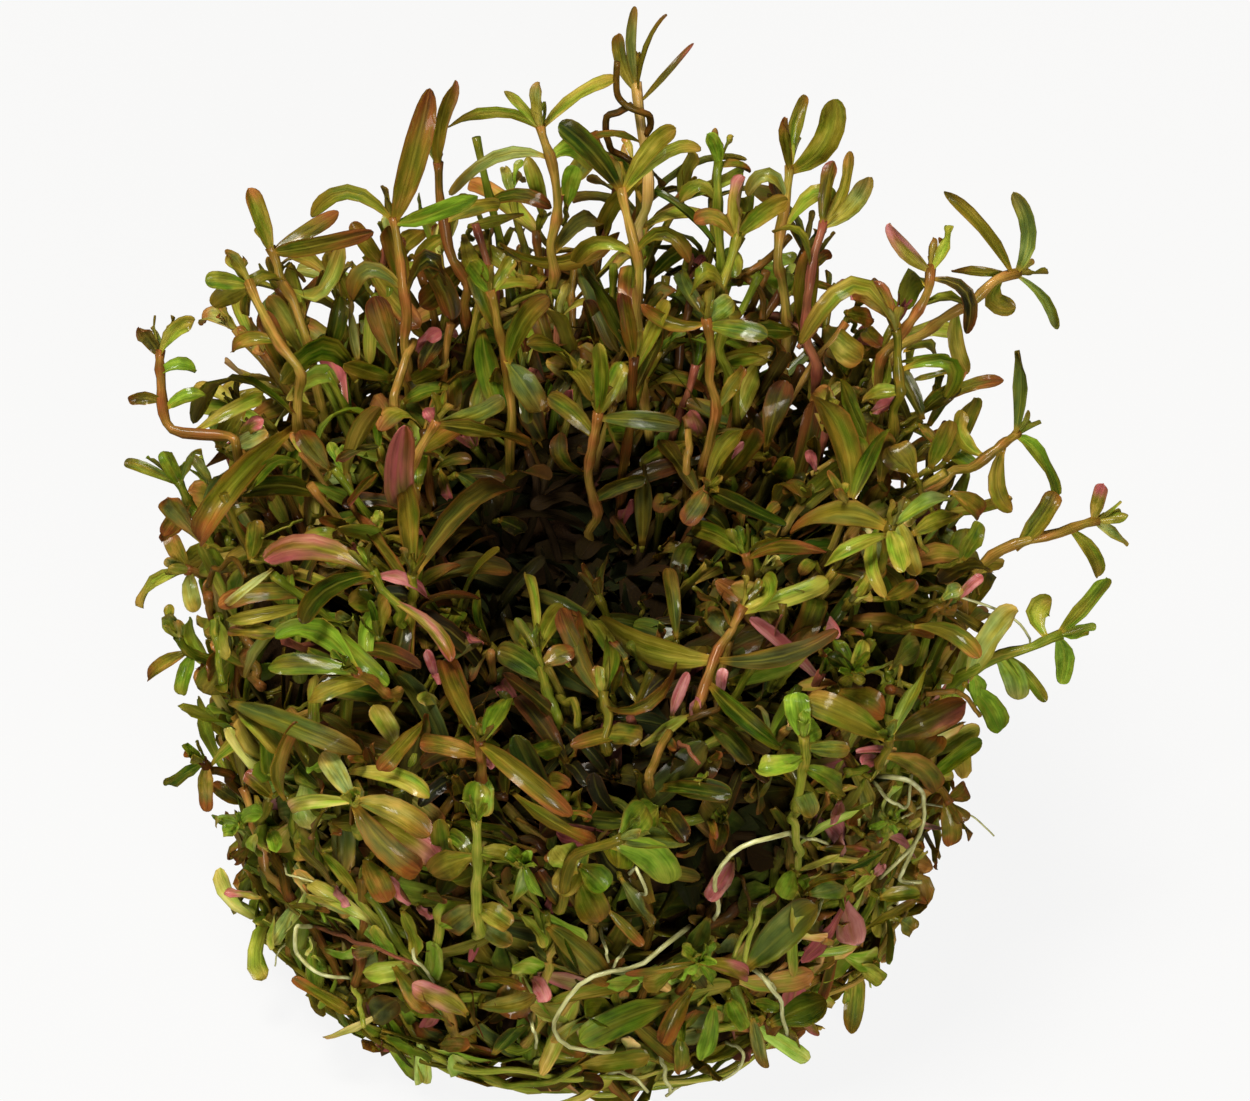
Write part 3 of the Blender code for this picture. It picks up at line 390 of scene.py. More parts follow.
    ("shoot_bright_left", None, None, "orange", "green", [(394, 698), (356, 672)], [
        (1.0, (268, 667), 1.9, None, -1),
        (1.0, (275, 638), 2.6, (316, 624), 2, "bright"),
        (0.7, (308, 702), 1.8, None, -2, "olive"),
    ]),
]

# Leaves that have rolled up and coil round their shoot's stem: their depth and their pixels.
COILS = {
    "shoot_tallest": (25.0, [
        [(645, 135), (650, 126), (645, 116), (633, 106), (621, 97), (616, 80), (617, 62)],
        [(632, 105), (611, 117), (605, 129), (609, 145), (621, 156), (636, 164)],
    ]),
}

# Single leaves read from the photograph, grown out of the tangle: the foot's pixel, the tip's pixel, the
# width, the tint and, where the leaf bends, the pixel that it leans through.
SINGLE_LEAVES = [
    # The left of the crown.
    (356, 380, 281, 384, 2.3, "green", 318, 345), (340, 386, 286, 400, 2.0, "yellow", 312, 374),
    (392, 378, 344, 364, 1.6, "olive"), (302, 424, 193, 424, 2.0, "dark", 232, 372),
    (292, 430, 200, 542, 3.0, "brown", 236, 492), (298, 462, 248, 492, 1.4, "green", 270, 462),
    (326, 498, 244, 494, 1.8, "dark", 285, 478), (218, 448, 244, 402, 1.8, "olive"),
    (226, 450, 268, 432, 1.6, "yellow"), (240, 436, 264, 420, 1.3, "blushed"),
    (213, 438, 222, 412, 1.9, "bright"), (290, 374, 262, 310, 2.0, "brown"),
    (304, 358, 268, 296, 1.8, "yellow"), (328, 352, 340, 296, 2.0, "dark"),
    (358, 362, 352, 300, 1.8, "olive"), (398, 368, 374, 296, 2.6, "brown"),
    (402, 384, 450, 362, 2.0, "olive"), (416, 354, 441, 331, 1.5, "pink"),
    (404, 402, 447, 390, 1.8, "green"), (376, 474, 348, 505, 0.9, "red"),
    (384, 446, 336, 462, 0.8, "grey"), (386, 542, 338, 528, 2.4, "yellow"),
    (348, 524, 320, 518, 1.0, "brown"), (206, 546, 168, 498, 2.4, "brown", 172, 512),
    (172, 516, 160, 540, 1.5, "brown"), (204, 508, 240, 470, 1.3, "green"),
    (250, 560, 256, 520, 1.6, "olive"), (318, 412, 290, 404, 1.6, "brown"),
    (330, 470, 300, 430, 2.0, "brown"), (350, 262, 334, 284, 1.6, "brown"),
    # The back of the crown.
    (364, 256, 420, 328, 2.0, "brown"), (412, 256, 452, 320, 2.4, "deep"),
    (404, 296, 388, 226, 2.2, "brown"), (464, 236, 496, 332, 1.8, "olive"),
    (500, 244, 620, 232, 1.8, "brown", 560, 262), (580, 248, 620, 352, 2.6, "dark"),
    (596, 342, 585, 300, 2.0, "deep"), (572, 420, 572, 390, 1.7, "pink"),
    (546, 446, 510, 378, 2.4, "brown"), (716, 256, 734, 278, 2.2, "green"),
    (706, 300, 740, 312, 1.8, "green"), (760, 262, 797, 258, 1.4, "green"),
    (796, 332, 748, 330, 2.2, "dark"), (712, 360, 774, 348, 2.0, "olive"),
    (716, 372, 768, 360, 1.8, "yellow"), (806, 348, 812, 248, 2.4, "olive"),
    (467, 262, 420, 306, 2.4, "deep"), (470, 226, 524, 214, 1.6, "olive"),
    (478, 212, 552, 208, 1.4, "brown", 512, 196), (540, 216, 528, 156, 2.0, "yellow"),
    (566, 208, 576, 166, 1.8, "bright"), (482, 330, 500, 410, 2.4, "green"),
    (520, 368, 528, 424, 1.8, "green"), (598, 344, 604, 398, 1.8, "olive"),
    (650, 280, 692, 246, 1.6, "dark"), (682, 272, 700, 312, 1.8, "green"),
    (440, 250, 470, 196, 1.8, "olive"), (350, 300, 330, 250, 2.0, "olive"),
    (380, 262, 352, 222, 2.0, "brown"), (450, 330, 420, 372, 2.0, "deep"),
    # The middle, round the hollow.
    (590, 476, 560, 432, 1.7, "olive", 566, 458), (642, 546, 644, 464, 2.0, "olive"),
    (622, 526, 632, 500, 1.5, "pink"), (634, 546, 612, 516, 1.1, "brown"),
    (660, 548, 675, 532, 0.5, "red"), (688, 442, 640, 466, 1.6, "olive"),
    (700, 436, 690, 410, 2.2, "blushed"), (600, 440, 634, 436, 1.6, "green"),
    (500, 402, 497, 368, 1.2, "grey"), (456, 476, 505, 480, 1.2, "grey"),
    (456, 474, 482, 498, 1.4, "green"), (440, 470, 447, 500, 1.0, "blushed"),
    (430, 515, 472, 504, 1.6, "deep"), (500, 520, 524, 532, 1.8, "dark"),
    (766, 452, 786, 380, 2.4, "brown"), (720, 480, 755, 428, 2.6, "brown"),
    (726, 462, 744, 443, 1.1, "pink"), (764, 470, 773, 457, 0.9, "red"),
    (776, 474, 792, 458, 2.2, "green"),
    # The right of the crown.
    (816, 238, 831, 252, 1.3, "brown"), (822, 262, 838, 290, 0.8, "brown"),
    (836, 284, 853, 300, 1.0, "pink"), (872, 296, 878, 280, 1.0, "brown"),
    (846, 312, 874, 320, 1.8, "red"), (876, 318, 882, 347, 1.6, "red"),
    (826, 328, 862, 360, 2.6, "olive"), (846, 378, 828, 348, 1.8, "deep"),
    (864, 358, 872, 346, 1.0, "brown"), (868, 444, 840, 380, 1.8, "dark"),
    (876, 402, 886, 352, 2.6, "yellow"), (872, 412, 896, 404, 1.7, "pink"),
    (905, 330, 958, 384, 1.7, "yellow", 956, 318), (920, 414, 961, 386, 1.5, "dark"),
    (906, 382, 952, 370, 0.6, "olive"), (900, 362, 950, 357, 0.8, "yellow"),
    (922, 420, 892, 366, 2.0, "dark"), (958, 452, 975, 398, 2.4, "olive"),
    (930, 468, 950, 420, 2.2, "olive"), (918, 424, 937, 443, 0.9, "brown"),
    (938, 438, 947, 421, 0.8, "deep"), (880, 482, 874, 424, 3.0, "brown"),
    (916, 478, 890, 446, 3.0, "grey"), (842, 440, 858, 456, 2.4, "yellow"),
    (816, 472, 808, 450, 1.0, "pink"), (972, 404, 968, 372, 1.8, "red"),
    (984, 378, 1004, 380, 1.2, "red"),
    # The right, below the crown.
    (884, 520, 886, 598, 1.4, "yellow", 866, 565), (886, 530, 900, 570, 1.8, "brown"),
    (896, 516, 916, 576, 1.7, "yellow"), (886, 598, 916, 580, 1.6, "brown"),
    (906, 514, 910, 526, 1.3, "pale"), (950, 492, 980, 516, 2.4, "brown"),
    (912, 534, 960, 514, 1.8, "olive"), (962, 560, 980, 522, 2.0, "green"),
    (960, 598, 983, 576, 1.0, "pink"), (942, 600, 962, 588, 1.4, "green"),
    (914, 626, 980, 658, 1.8, "olive", 948, 632), (966, 620, 972, 640, 1.0, "red"),
    (970, 614, 990, 632, 1.0, "grey"), (826, 628, 840, 636, 1.6, "pink"),
    (846, 634, 864, 636, 0.8, "red"), (820, 650, 826, 654, 0.7, "red"),
    (840, 692, 884, 716, 3.0, "brown"), (916, 688, 924, 672, 0.8, "red"),
    (806, 748, 850, 750, 1.5, "green"), (815, 562, 800, 575, 1.2, "olive"),
    (778, 608, 804, 592, 1.6, "yellow"), (910, 772, 938, 736, 3.0, "brown"),
    (894, 750, 856, 752, 1.2, "pink"), (878, 760, 862, 764, 1.4, "pink"),
    (872, 780, 896, 748, 0.8, "pale"), (968, 760, 980, 728, 1.6, "pale"),
    (944, 780, 954, 776, 1.1, "yellow"), (966, 784, 982, 740, 2.0, "green"),
    # The left, below the crown.
    (312, 596, 218, 606, 1.7, "brown"), (310, 606, 226, 620, 1.6, "olive"),
    (272, 570, 226, 604, 1.0, "pale", 246, 590), (280, 632, 228, 631, 1.7, "grey"),
    (322, 620, 388, 686, 1.8, "green", 366, 652), (400, 700, 318, 684, 1.9, "dark"),
    (396, 746, 373, 705, 2.2, "pale"), (424, 722, 379, 771, 1.7, "brown", 396, 744),
    (230, 702, 362, 754, 2.0, "dark", 296, 712), (238, 710, 284, 754, 2.2, "yellow"),
    (262, 722, 268, 774, 1.9, "bright"), (286, 800, 297, 721, 1.7, "brown", 284, 756),
    (302, 732, 330, 762, 0.8, "bright"), (372, 764, 347, 758, 0.8, "red"),
    (330, 768, 306, 770, 1.0, "bright"), (350, 772, 430, 797, 1.6, "yellow", 396, 778),
    (272, 797, 245, 773, 1.6, "grey"), (436, 682, 426, 650, 0.9, "pink"),
    (458, 632, 483, 644, 1.1, "pink"), (450, 662, 446, 640, 1.2, "pink"),
    (432, 676, 440, 684, 0.8, "pink"), (462, 724, 449, 659, 1.7, "brown"),
    (438, 702, 420, 702, 1.3, "pale"),
    # The front, below the hollow.
    (572, 668, 552, 640, 2.0, "bright"), (550, 688, 522, 658, 2.0, "olive"),
    (558, 668, 544, 646, 1.5, "brown"), (600, 698, 544, 655, 2.4, "dark"),
    (600, 688, 560, 608, 1.7, "brown"), (590, 652, 572, 610, 1.6, "brown"),
    (612, 694, 622, 666, 1.0, "brown"), (626, 660, 612, 642, 1.4, "brown"),
    (640, 704, 620, 656, 1.6, "olive"), (672, 716, 688, 672, 1.2, "pink"),
    (690, 716, 700, 702, 1.1, "pink"), (722, 698, 724, 668, 1.0, "pink"),
    (690, 716, 640, 744, 1.3, "pale"), (668, 734, 676, 750, 0.9, "brown"),
    (706, 776, 700, 786, 1.2, "yellow"), (710, 760, 720, 752, 0.8, "red"),
    (662, 786, 732, 796, 1.6, "dark"), (630, 730, 570, 746, 1.8, "brown"),
    (562, 746, 536, 754, 2.0, "dark"), (486, 752, 490, 768, 1.0, "pink"),
    (728, 682, 808, 650, 2.2, "green"), (708, 718, 752, 764, 2.0, "dark"),
    (676, 640, 668, 568, 1.5, "olive"), (692, 586, 682, 572, 1.2, "green"),
    (640, 602, 652, 596, 0.7, "red"), (762, 648, 782, 614, 1.6, "blushed"),
    (710, 820, 716, 840, 0.9, "red"), (664, 808, 686, 842, 2.4, "deep"),
    (660, 790, 732, 796, 1.6, "dark"), (512, 792, 596, 842, 1.6, "brown", 556, 818),
    (556, 818, 592, 818, 0.5, "red"),
    # The lower left.
    (362, 822, 438, 862, 3.0, "blushed"), (328, 806, 312, 840, 0.8, "grey"),
    (330, 824, 342, 832, 1.0, "red"), (270, 832, 276, 852, 1.6, "bright"),
    (258, 868, 300, 915, 1.4, "green"), (322, 852, 356, 894, 1.2, "yellow"),
    (296, 844, 336, 886, 1.6, "grey"), (336, 886, 350, 906, 1.2, "pink"),
    (290, 906, 330, 912, 0.8, "brown"), (366, 860, 388, 902, 2.2, "brown"),
    (390, 878, 410, 905, 1.6, "pink"), (424, 896, 446, 900, 1.1, "red"),
    (418, 906, 434, 914, 1.0, "pink"), (470, 905, 438, 925, 2.6, "yellow"),
    (326, 950, 352, 948, 1.7, "bright"), (376, 950, 352, 954, 1.7, "grey"),
    (402, 910, 418, 958, 1.6, "yellow"), (394, 966, 434, 1010, 2.4, "brown"),
    (466, 1014, 412, 984, 2.4, "blushed"), (430, 1005, 454, 1026, 1.2, "brown"),
    (372, 1020, 396, 1000, 2.6, "dark"), (352, 1012, 292, 978, 1.5, "brown", 330, 1002),
    (262, 898, 224, 894, 1.0, "blushed"), (226, 806, 212, 784, 1.4, "brown"),
    (228, 848, 236, 862, 1.2, "brown"), (382, 1036, 432, 1058, 1.6, "green"),
    (440, 1046, 470, 1046, 1.4, "brown"),
    # The lower front.
    (590, 846, 560, 895, 2.6, "yellow"), (620, 842, 618, 868, 3.3, "green"),
    (624, 836, 658, 806, 3.0, "green"), (652, 842, 662, 818, 2.4, "green"),
    (580, 882, 600, 922, 3.2, "olive"), (620, 878, 652, 926, 1.6, "green"),
    (608, 910, 643, 946, 1.0, "brown"), (548, 926, 610, 984, 2.4, "olive"),
    (556, 934, 580, 975, 2.0, "dark"), (520, 915, 545, 948, 1.1, "yellow"),
    (484, 926, 512, 944, 1.8, "yellow"), (532, 978, 546, 1002, 1.7, "pink"),
    (670, 1004, 580, 1042, 2.6, "green"), (580, 1066, 650, 1056, 2.0, "olive"),
    (694, 988, 662, 1044, 2.4, "brown"), (680, 1024, 684, 1042, 1.5, "bright"),
    (680, 1036, 680, 1074, 1.6, "olive"), (714, 1004, 702, 1060, 1.7, "bright"),
    (730, 1000, 744, 1030, 1.9, "bright"), (752, 1018, 764, 1068, 1.5, "olive"),
    (578, 1080, 604, 1084, 1.6, "deep"), (494, 1054, 524, 1026, 1.8, "dark"),
    (480, 982, 526, 990, 0.8, "brown"), (480, 1006, 534, 994, 1.6, "olive"),
    # The lower right.
    (732, 860, 708, 900, 1.8, "pink"), (800, 870, 840, 854, 0.9, "pale"),
    (820, 848, 868, 852, 1.0, "red"), (804, 894, 848, 878, 0.8, "brown", 820, 880),
    (794, 870, 782, 898, 1.9, "bright"), (800, 876, 808, 886, 1.2, "bright"),
    (808, 894, 844, 886, 2.4, "fern"), (795, 890, 794, 932, 1.6, "pale"),
    (748, 966, 818, 906, 4.0, "fern"), (754, 1002, 780, 1008, 1.6, "green"),
    (770, 1024, 826, 1000, 3.6, "fern"), (804, 1018, 816, 1036, 1.4, "blushed"),
    (872, 984, 851, 1034, 1.9, "olive"), (846, 990, 845, 1004, 0.7, "yellow"),
    (860, 966, 883, 981, 1.8, "yellow"), (900, 920, 914, 930, 2.0, "olive"),
    (880, 898, 920, 895, 1.7, "yellow"), (918, 904, 927, 903, 0.7, "brown"),
    (864, 930, 916, 900, 1.0, "grey"), (874, 876, 884, 864, 0.9, "pink"),
    (908, 828, 922, 820, 0.9, "pale"), (864, 836, 882, 838, 0.9, "red"),
    (840, 800, 832, 824, 1.3, "pink"), (812, 862, 858, 862, 0.7, "pale"),
    (820, 880, 856, 872, 0.6, "brown"), (798, 884, 822, 872, 0.8, "pale"),
    (846, 866, 870, 876, 0.7, "red"),
]

# Short side shoots of which the photograph shows the end: the node's pixel, the stem's tint, and the leaves
# of its whorl as tip pixel, width and tint.
WHORLS = [
    ((240, 824), "green", [((262, 814), 1.8, "bright"), ((222, 830), 1.6, "bright")]),
    ((524, 864), "green", [((512, 905), 2.2, "bright"), ((545, 898), 1.4, "bright"),
                           ((508, 850), 1.6, "green")]),
    ((700, 962), "green", [((712, 940), 1.3, "bright"), ((712, 984), 1.4, "bright"),
                           ((678, 978), 1.3, "bright"), ((748, 976), 1.7, "blushed"),
                           ((682, 946), 1.2, "yellow"), ((625, 974), 0.8, "brown")]),
    ((890, 820), "green", [((905, 806), 0.7, "bright"), ((870, 828), 0.7, "bright"),
                           ((896, 834), 0.7, "bright"), ((880, 812), 0.7, "green")]),
    ((852, 672), "olive", [((834, 640), 1.4, "green"), ((864, 640), 1.6, "yellow"),
                           ((892, 662), 1.6, "green"), ((826, 656), 1.6, "dark")]),
    ((478, 738), "orange", [((462, 716), 1.2, "olive"), ((498, 722), 1.2, "brown")]),
    ((532, 652), "orange", [((520, 634), 1.0, "yellow"), ((548, 636), 1.0, "green")]),
]

# Twigs and bare stems read from the photograph: pixels, radius and tint.
TWIGS = [
    ([(208, 585), (218, 566), (236, 562), (246, 578)], 0.30, "brown"),
    ([(214, 620), (222, 684)], 0.42, "green"),
    ([(316, 926), (380, 950), (420, 965)], 0.22, "red"),
    ([(352, 972), (364, 1028)], 0.32, "pale"),
    ([(480, 1075), (520, 1085), (560, 1078), (580, 1068)], 0.36, "green"),
    ([(800, 806), (796, 824), (796, 844), (798, 868)], 0.42, "pale"),
    ([(732, 868), (746, 884), (750, 910)], 0.20, "brown"),
    ([(778, 892), (756, 916), (748, 940), (744, 964)], 0.32, "pale"),
    ([(750, 906), (750, 920), (740, 944), (732, 962)], 0.28, "pale"),
    ([(556, 688), (570, 704), (578, 728)], 0.45, "olive"),
    ([(722, 696), (716, 708), (688, 720)], 0.38, "brown"),
    ([(650, 800), (652, 770), (660, 748), (670, 732)], 0.48, "orange"),
    ([(674, 752), (690, 750), (700, 764)], 0.24, "red"),
    ([(916, 624), (940, 612), (960, 604)], 0.35, "brown"),
    ([(926, 694), (960, 692), (980, 716)], 0.28, "orange"),
    ([(393, 440), (396, 400), (404, 368), (414, 340)], 0.50, "orange"),
    ([(700, 290), (730, 276), (760, 262), (790, 236)], 0.45, "brown"),
    ([(735, 280), (752, 286), (760, 300), (762, 320)], 0.40, "brown"),
    ([(822, 324), (808, 336), (798, 348)], 0.32, "red"),
    ([(686, 500), (690, 470), (688, 430)], 0.45, "orange"),
    ([(302, 520), (280, 530), (262, 538)], 0.14, "pale"),
    ([(305, 360), (306, 318)], 0.50, "tan"),
]

# Pale roots over the tangle: the pixels that each runs through and its radius.
ROOTS = [
    ([(690, 926), (660, 950), (640, 966), (612, 974), (596, 980), (572, 996), (558, 1012), (554, 1030),
      (564, 1046), (588, 1052), (604, 1054), (616, 1044)], 0.23),
    ([(600, 928), (606, 950), (608, 966)], 0.16),
    ([(628, 945), (618, 960), (612, 972)], 0.16),
    ([(528, 1010), (534, 1030), (536, 1048)], 0.18),
    ([(600, 1076), (636, 1080), (648, 1092)], 0.20),
    ([(660, 1050), (668, 1080), (670, 1092)], 0.22),
    ([(705, 1082), (680, 1084), (666, 1096)], 0.20),
    ([(726, 1042), (742, 1052), (740, 1068), (722, 1080)], 0.18),
    ([(628, 874), (640, 874), (644, 884), (638, 894)], 0.18),
    ([(284, 864), (300, 878), (336, 888)], 0.11),
    ([(312, 926), (296, 932), (300, 956), (324, 974), (352, 978)], 0.22),
    ([(290, 940), (278, 952), (275, 966)], 0.10),
    ([(404, 924), (416, 958), (434, 982)], 0.18),
    ([(796, 836), (770, 838), (740, 848), (720, 862), (711, 876), (711, 892), (716, 906), (714, 920)], 0.24),
    ([(796, 836), (812, 838), (828, 844)], 0.18),
    ([(748, 966), (766, 978), (778, 1000), (786, 1024), (787, 1038)], 0.22),
    ([(760, 970), (770, 982), (777, 998)], 0.16),
    ([(878, 776), (900, 778), (916, 784), (925, 798), (924, 820), (916, 840), (900, 860), (880, 878)], 0.24),
    ([(874, 782), (888, 798), (908, 805), (912, 772)], 0.18),
    ([(922, 804), (902, 818)], 0.14),
    ([(922, 826), (910, 852), (902, 868), (904, 882), (922, 882)], 0.24),
    ([(962, 812), (978, 820), (994, 836)], 0.11),
    ([(822, 900), (812, 926), (794, 946)], 0.18),
    ([(1010, 606), (1024, 630), (1030, 648), (1008, 652), (984, 666), (952, 680)], 0.14),
]

# Open places in the tangle with painted shade: the pixel, how far round it the shade reaches, how dark it is.
OPENINGS = [
    ((565, 545), 15.0, 1.9), ((480, 590), 8.0, 1.3), ((640, 590), 9.0, 1.3), ((720, 520), 8.0, 0.9),
    ((500, 470), 8.0, 0.9), ((560, 640), 6.0, 1.0), ((746, 868), 9.0, 1.6), ((640, 780), 7.0, 1.0),
    ((740, 750), 6.0, 0.9), ((760, 900), 5.0, 0.8), ((520, 720), 6.0, 0.8), ((610, 960), 4.0, 0.6),
    ((780, 960), 4.0, 0.6), ((700, 640), 6.0, 0.8), ((850, 480), 7.0, 0.8), ((800, 620), 6.0, 0.7),
    ((430, 700), 5.0, 0.7), ((600, 740), 6.0, 0.8), ((660, 330), 6.0, 0.5), ((790, 400), 6.0, 0.7),
    ((590, 690), 25.0, 0.6), ((640, 860), 5.0, 0.5), ((690, 904), 5.0, 1.0),
]

# The clump's outline, inside which the growth between the shoots that were read stays.
SKYLINE = [(147, 1101), (148, 420), (160, 345), (215, 300), (262, 238), (330, 222), (385, 196), (440, 176),
           (500, 140), (560, 122), (620, 128), (690, 150), (760, 160), (830, 176), (872, 232), (905, 262),
           (960, 268), (1000, 300), (1012, 480), (1013, 1101)]

# The depths tried for a pixel that shows no tangle, the height that growth keeps over the floor, and how deep
# the stalk of a single leaf goes.
TRIED_DEPTHS = range(-36, 37, 2)
FLOOR_ROOM = 0.5
STALK_DEPTH = 5.0


def sight_ray(pixel):
    """The direction in which this pixel of the photograph was seen."""
    across = (pixel[0] - PHOTO_CENTRE[0]) / (PIXELS_PER_MM * VIEW_DISTANCE)
    above = (PHOTO_CENTRE[1] - pixel[1]) / (PIXELS_PER_MM * VIEW_DISTANCE)
    return (AHEAD + Vector((across, 0, 0)) + PHOTO_UP * above).normalized()


def sight(pixel, depth):
    """The point seen at this pixel, on the upright plane y = depth."""
    ray = sight_ray(pixel)
    return EYE + ray * ((depth - EYE.y) / ray.y)


def sight_over(pixel, rise, depth=0.0):
    """The point seen at this pixel, this far in front of the tangle, or at this depth beside it."""
    ray = sight_ray(pixel)
    seen, _, _, _ = tangle.ray_cast(EYE, ray)
    return seen - ray * rise if seen else sight(pixel, depth)


def footing(pixel, sunk):
    """The point this far under the tangle's surface at the pixel, or where the surface is nearest to it."""
    seen, _, _, _ = tangle.ray_cast(EYE, sight_ray(pixel))
    if seen:
        return seen + sight_ray(pixel) * sunk
    passing = [sight(pixel, depth) for depth in TRIED_DEPTHS]
    closest = min(passing, key=lambda point: tangle.find_nearest(point)[3])
    nearest, normal, _, _ = tangle.find_nearest(closest)
    return nearest - normal * sunk


def over_floor(point):
    """The point, brought nearer to the eye until it is over what the clump rests on."""
    if point.z > FLOOR_ROOM:
        return point
    return EYE + (point - EYE) * ((FLOOR_ROOM - EYE.z) / (point.z - EYE.z))


def laid_over(pixel, rise, before, further):
    """The point seen at this pixel over the tangle, at most so much further back than the point before it."""
    return sight(pixel, min(sight_over(pixel, rise, before.y).y, before.y + further))


def rim_height(azimuth):
    """How high the crown stands in this direction, counted from +X: lowest in front, highest behind."""
    back = math.sin(azimuth)
    ends = CROWN_BACK if back > 0 else CROWN_FRONT
    return CROWN_SIDES + (ends - CROWN_SIDES) * back * back


def tangle_profile(azimuth):
    """Reach and height from the flat spot's middle, up the wall and over the crown to the hollow's floor."""
    rim = rim_height(azimuth)
    widest = CUP_RADIUS + FLARE + CROWN_LEAN * (rim - CUP_HEIGHT) / (CROWN_BACK - CUP_HEIGHT)
    outline = [(0, 0), (FLAT_SPOT_RADIUS * 0.55, 0)]
    for degrees in (0, 30, 60, 90):
        turn = math.radians(degrees)
        outline.append((FLAT_SPOT_RADIUS + BOTTOM_ROUNDING * math.sin(turn),
                        BOTTOM_ROUNDING * (1 - math.cos(turn))))
    outline.append((CUP_RADIUS + FLARE * 0.6, CUP_HEIGHT * 0.62))
    outline.append((CUP_RADIUS + FLARE, CUP_HEIGHT))
    outline.append((widest, rim - 6.0))
    outline.append((widest - 4.5, rim))
    outline.append((HOLLOW_RADIUS, (rim + HOLLOW_FLOOR) / 2 + 2.0))
    outline.append((HOLLOW_RADIUS * 0.5, HOLLOW_FLOOR + 1.0))
    outline.append((0, HOLLOW_FLOOR))
    return outline


def turned_form(profile, facets, lump_height):
    """A closed form from a profile for each direction, with lumps everywhere but on the flat spot."""
    azimuths = [2 * math.pi * k / facets for k in range(facets)]
    profiles = [profile(azimuth) for azimuth in azimuths]
    rings = len(profiles[0]) - 2
    points = [Vector((0, 0, profiles[0][0][1])), Vector((0, 0, profiles[0][-1][1]))]
    for azimuth, outline in zip(azimuths, profiles):
        for reach, height in outline[1:-1]:
            points.append(Vector((reach * math.cos(azimuth), reach * math.sin(azimuth), height)))
    for i, point in enumerate(points):
        if point.z > 0.5:
            outwards = Vector((point.x, point.y, 0)).normalized() + UP * 0.3
            points[i] = point + outwards * lump_height * noise.noise(point / LUMP_SIZE)
    faces = []
    for k in range(facets):
        here, beside = 2 + k * rings, 2 + (k + 1) % facets * rings
        faces.append((0, beside, here))
        faces.append((1, here + rings - 1, beside + rings - 1))
        faces += [(here + i, beside + i, beside + i + 1, here + i + 1) for i in range(rings - 1)]
    return points, faces


tangle = BVHTree.FromPolygons(*turned_form(tangle_profile, TANGLE_FACETS, LUMP_HEIGHT))

# The two shapes between which every leaf lies: the width at its foot, where it starts and ends to widen, and
# where its round tip starts.
OBLONG = (0.34, 0.0, 0.32, 0.83)
SPOON = (0.18, 0.08, 0.60, 0.72)

# How finely a leaf is made: places along it, and its section as places across, with 1 above, -1 below.
FINE = ((0.0, 0.07, 0.18, 0.34, 0.52, 0.7, 0.82, 0.9, 0.955, 0.988),
        ((-1, 0), (-0.55, 1), (0, 1), (0.55, 1), (1, 0), (0.5, -1), (0, -1), (-0.5, -1)))
MEDIUM = ((0.0, 0.1, 0.26, 0.5, 0.74, 0.9, 0.98),
          ((-1, 0), (-0.5, 1), (0, 1), (0.5, 1), (1, 0), (0, -1)))
COARSE = ((0.0, 0.22, 0.48, 0.74, 0.93),
          ((-1, 0), (0, 1), (1, 0), (0, -1)))
STEM_RINGS = 21
STEM_SIDES = 7

# How a leaf is bent: its swing to the side as a share of its length, and the ripples along its edge. Half its
# thickness, how far its midrib stands out below, and how far the groove over it is sunk.
SWING = 0.45
RIPPLES = 1.7
HALF_THICKNESS = 0.07
RIB_BELOW = 0.12
RIB_GROOVE = 0.07

# How a stem strays from its line: at how many places, and by what share of its radius. How much thicker it is
# at a node, and over how many of its rings.
KINKS = 8
KINK_SIZE = 0.75
NODE_SWELLING = 0.42
NODE_RINGS = 0.75

# The share of its cell of the map that a leaf fills, and the lowest that a point of a leaf may lie.
CELL_ROOM = 0.92
LOWEST = 0.05

# How much of the tangle's shade falls on what was read from the photograph, and the deepest shade.
READ_SHADING = 0.5
DEEPEST_SHADE = 0.985

# The columns of a leaf's row.
BASE, VIA, TIP, FACING = (slice(i, i + 3) for i in (0, 3, 6, 9))
WIDTH, FORM, FOLD, TWIST, WAVE, PHASE = range(12, 18)
TINT = slice(18, 21)
ROSY, SEED = 21, 22
SHADES = (23, 24, 25)
CURL = 26


def unit(vectors):
    """The vectors brought to length 1."""
    return vectors / np.maximum(np.linalg.norm(vectors, axis=-1, keepdims=True), 1e-9)


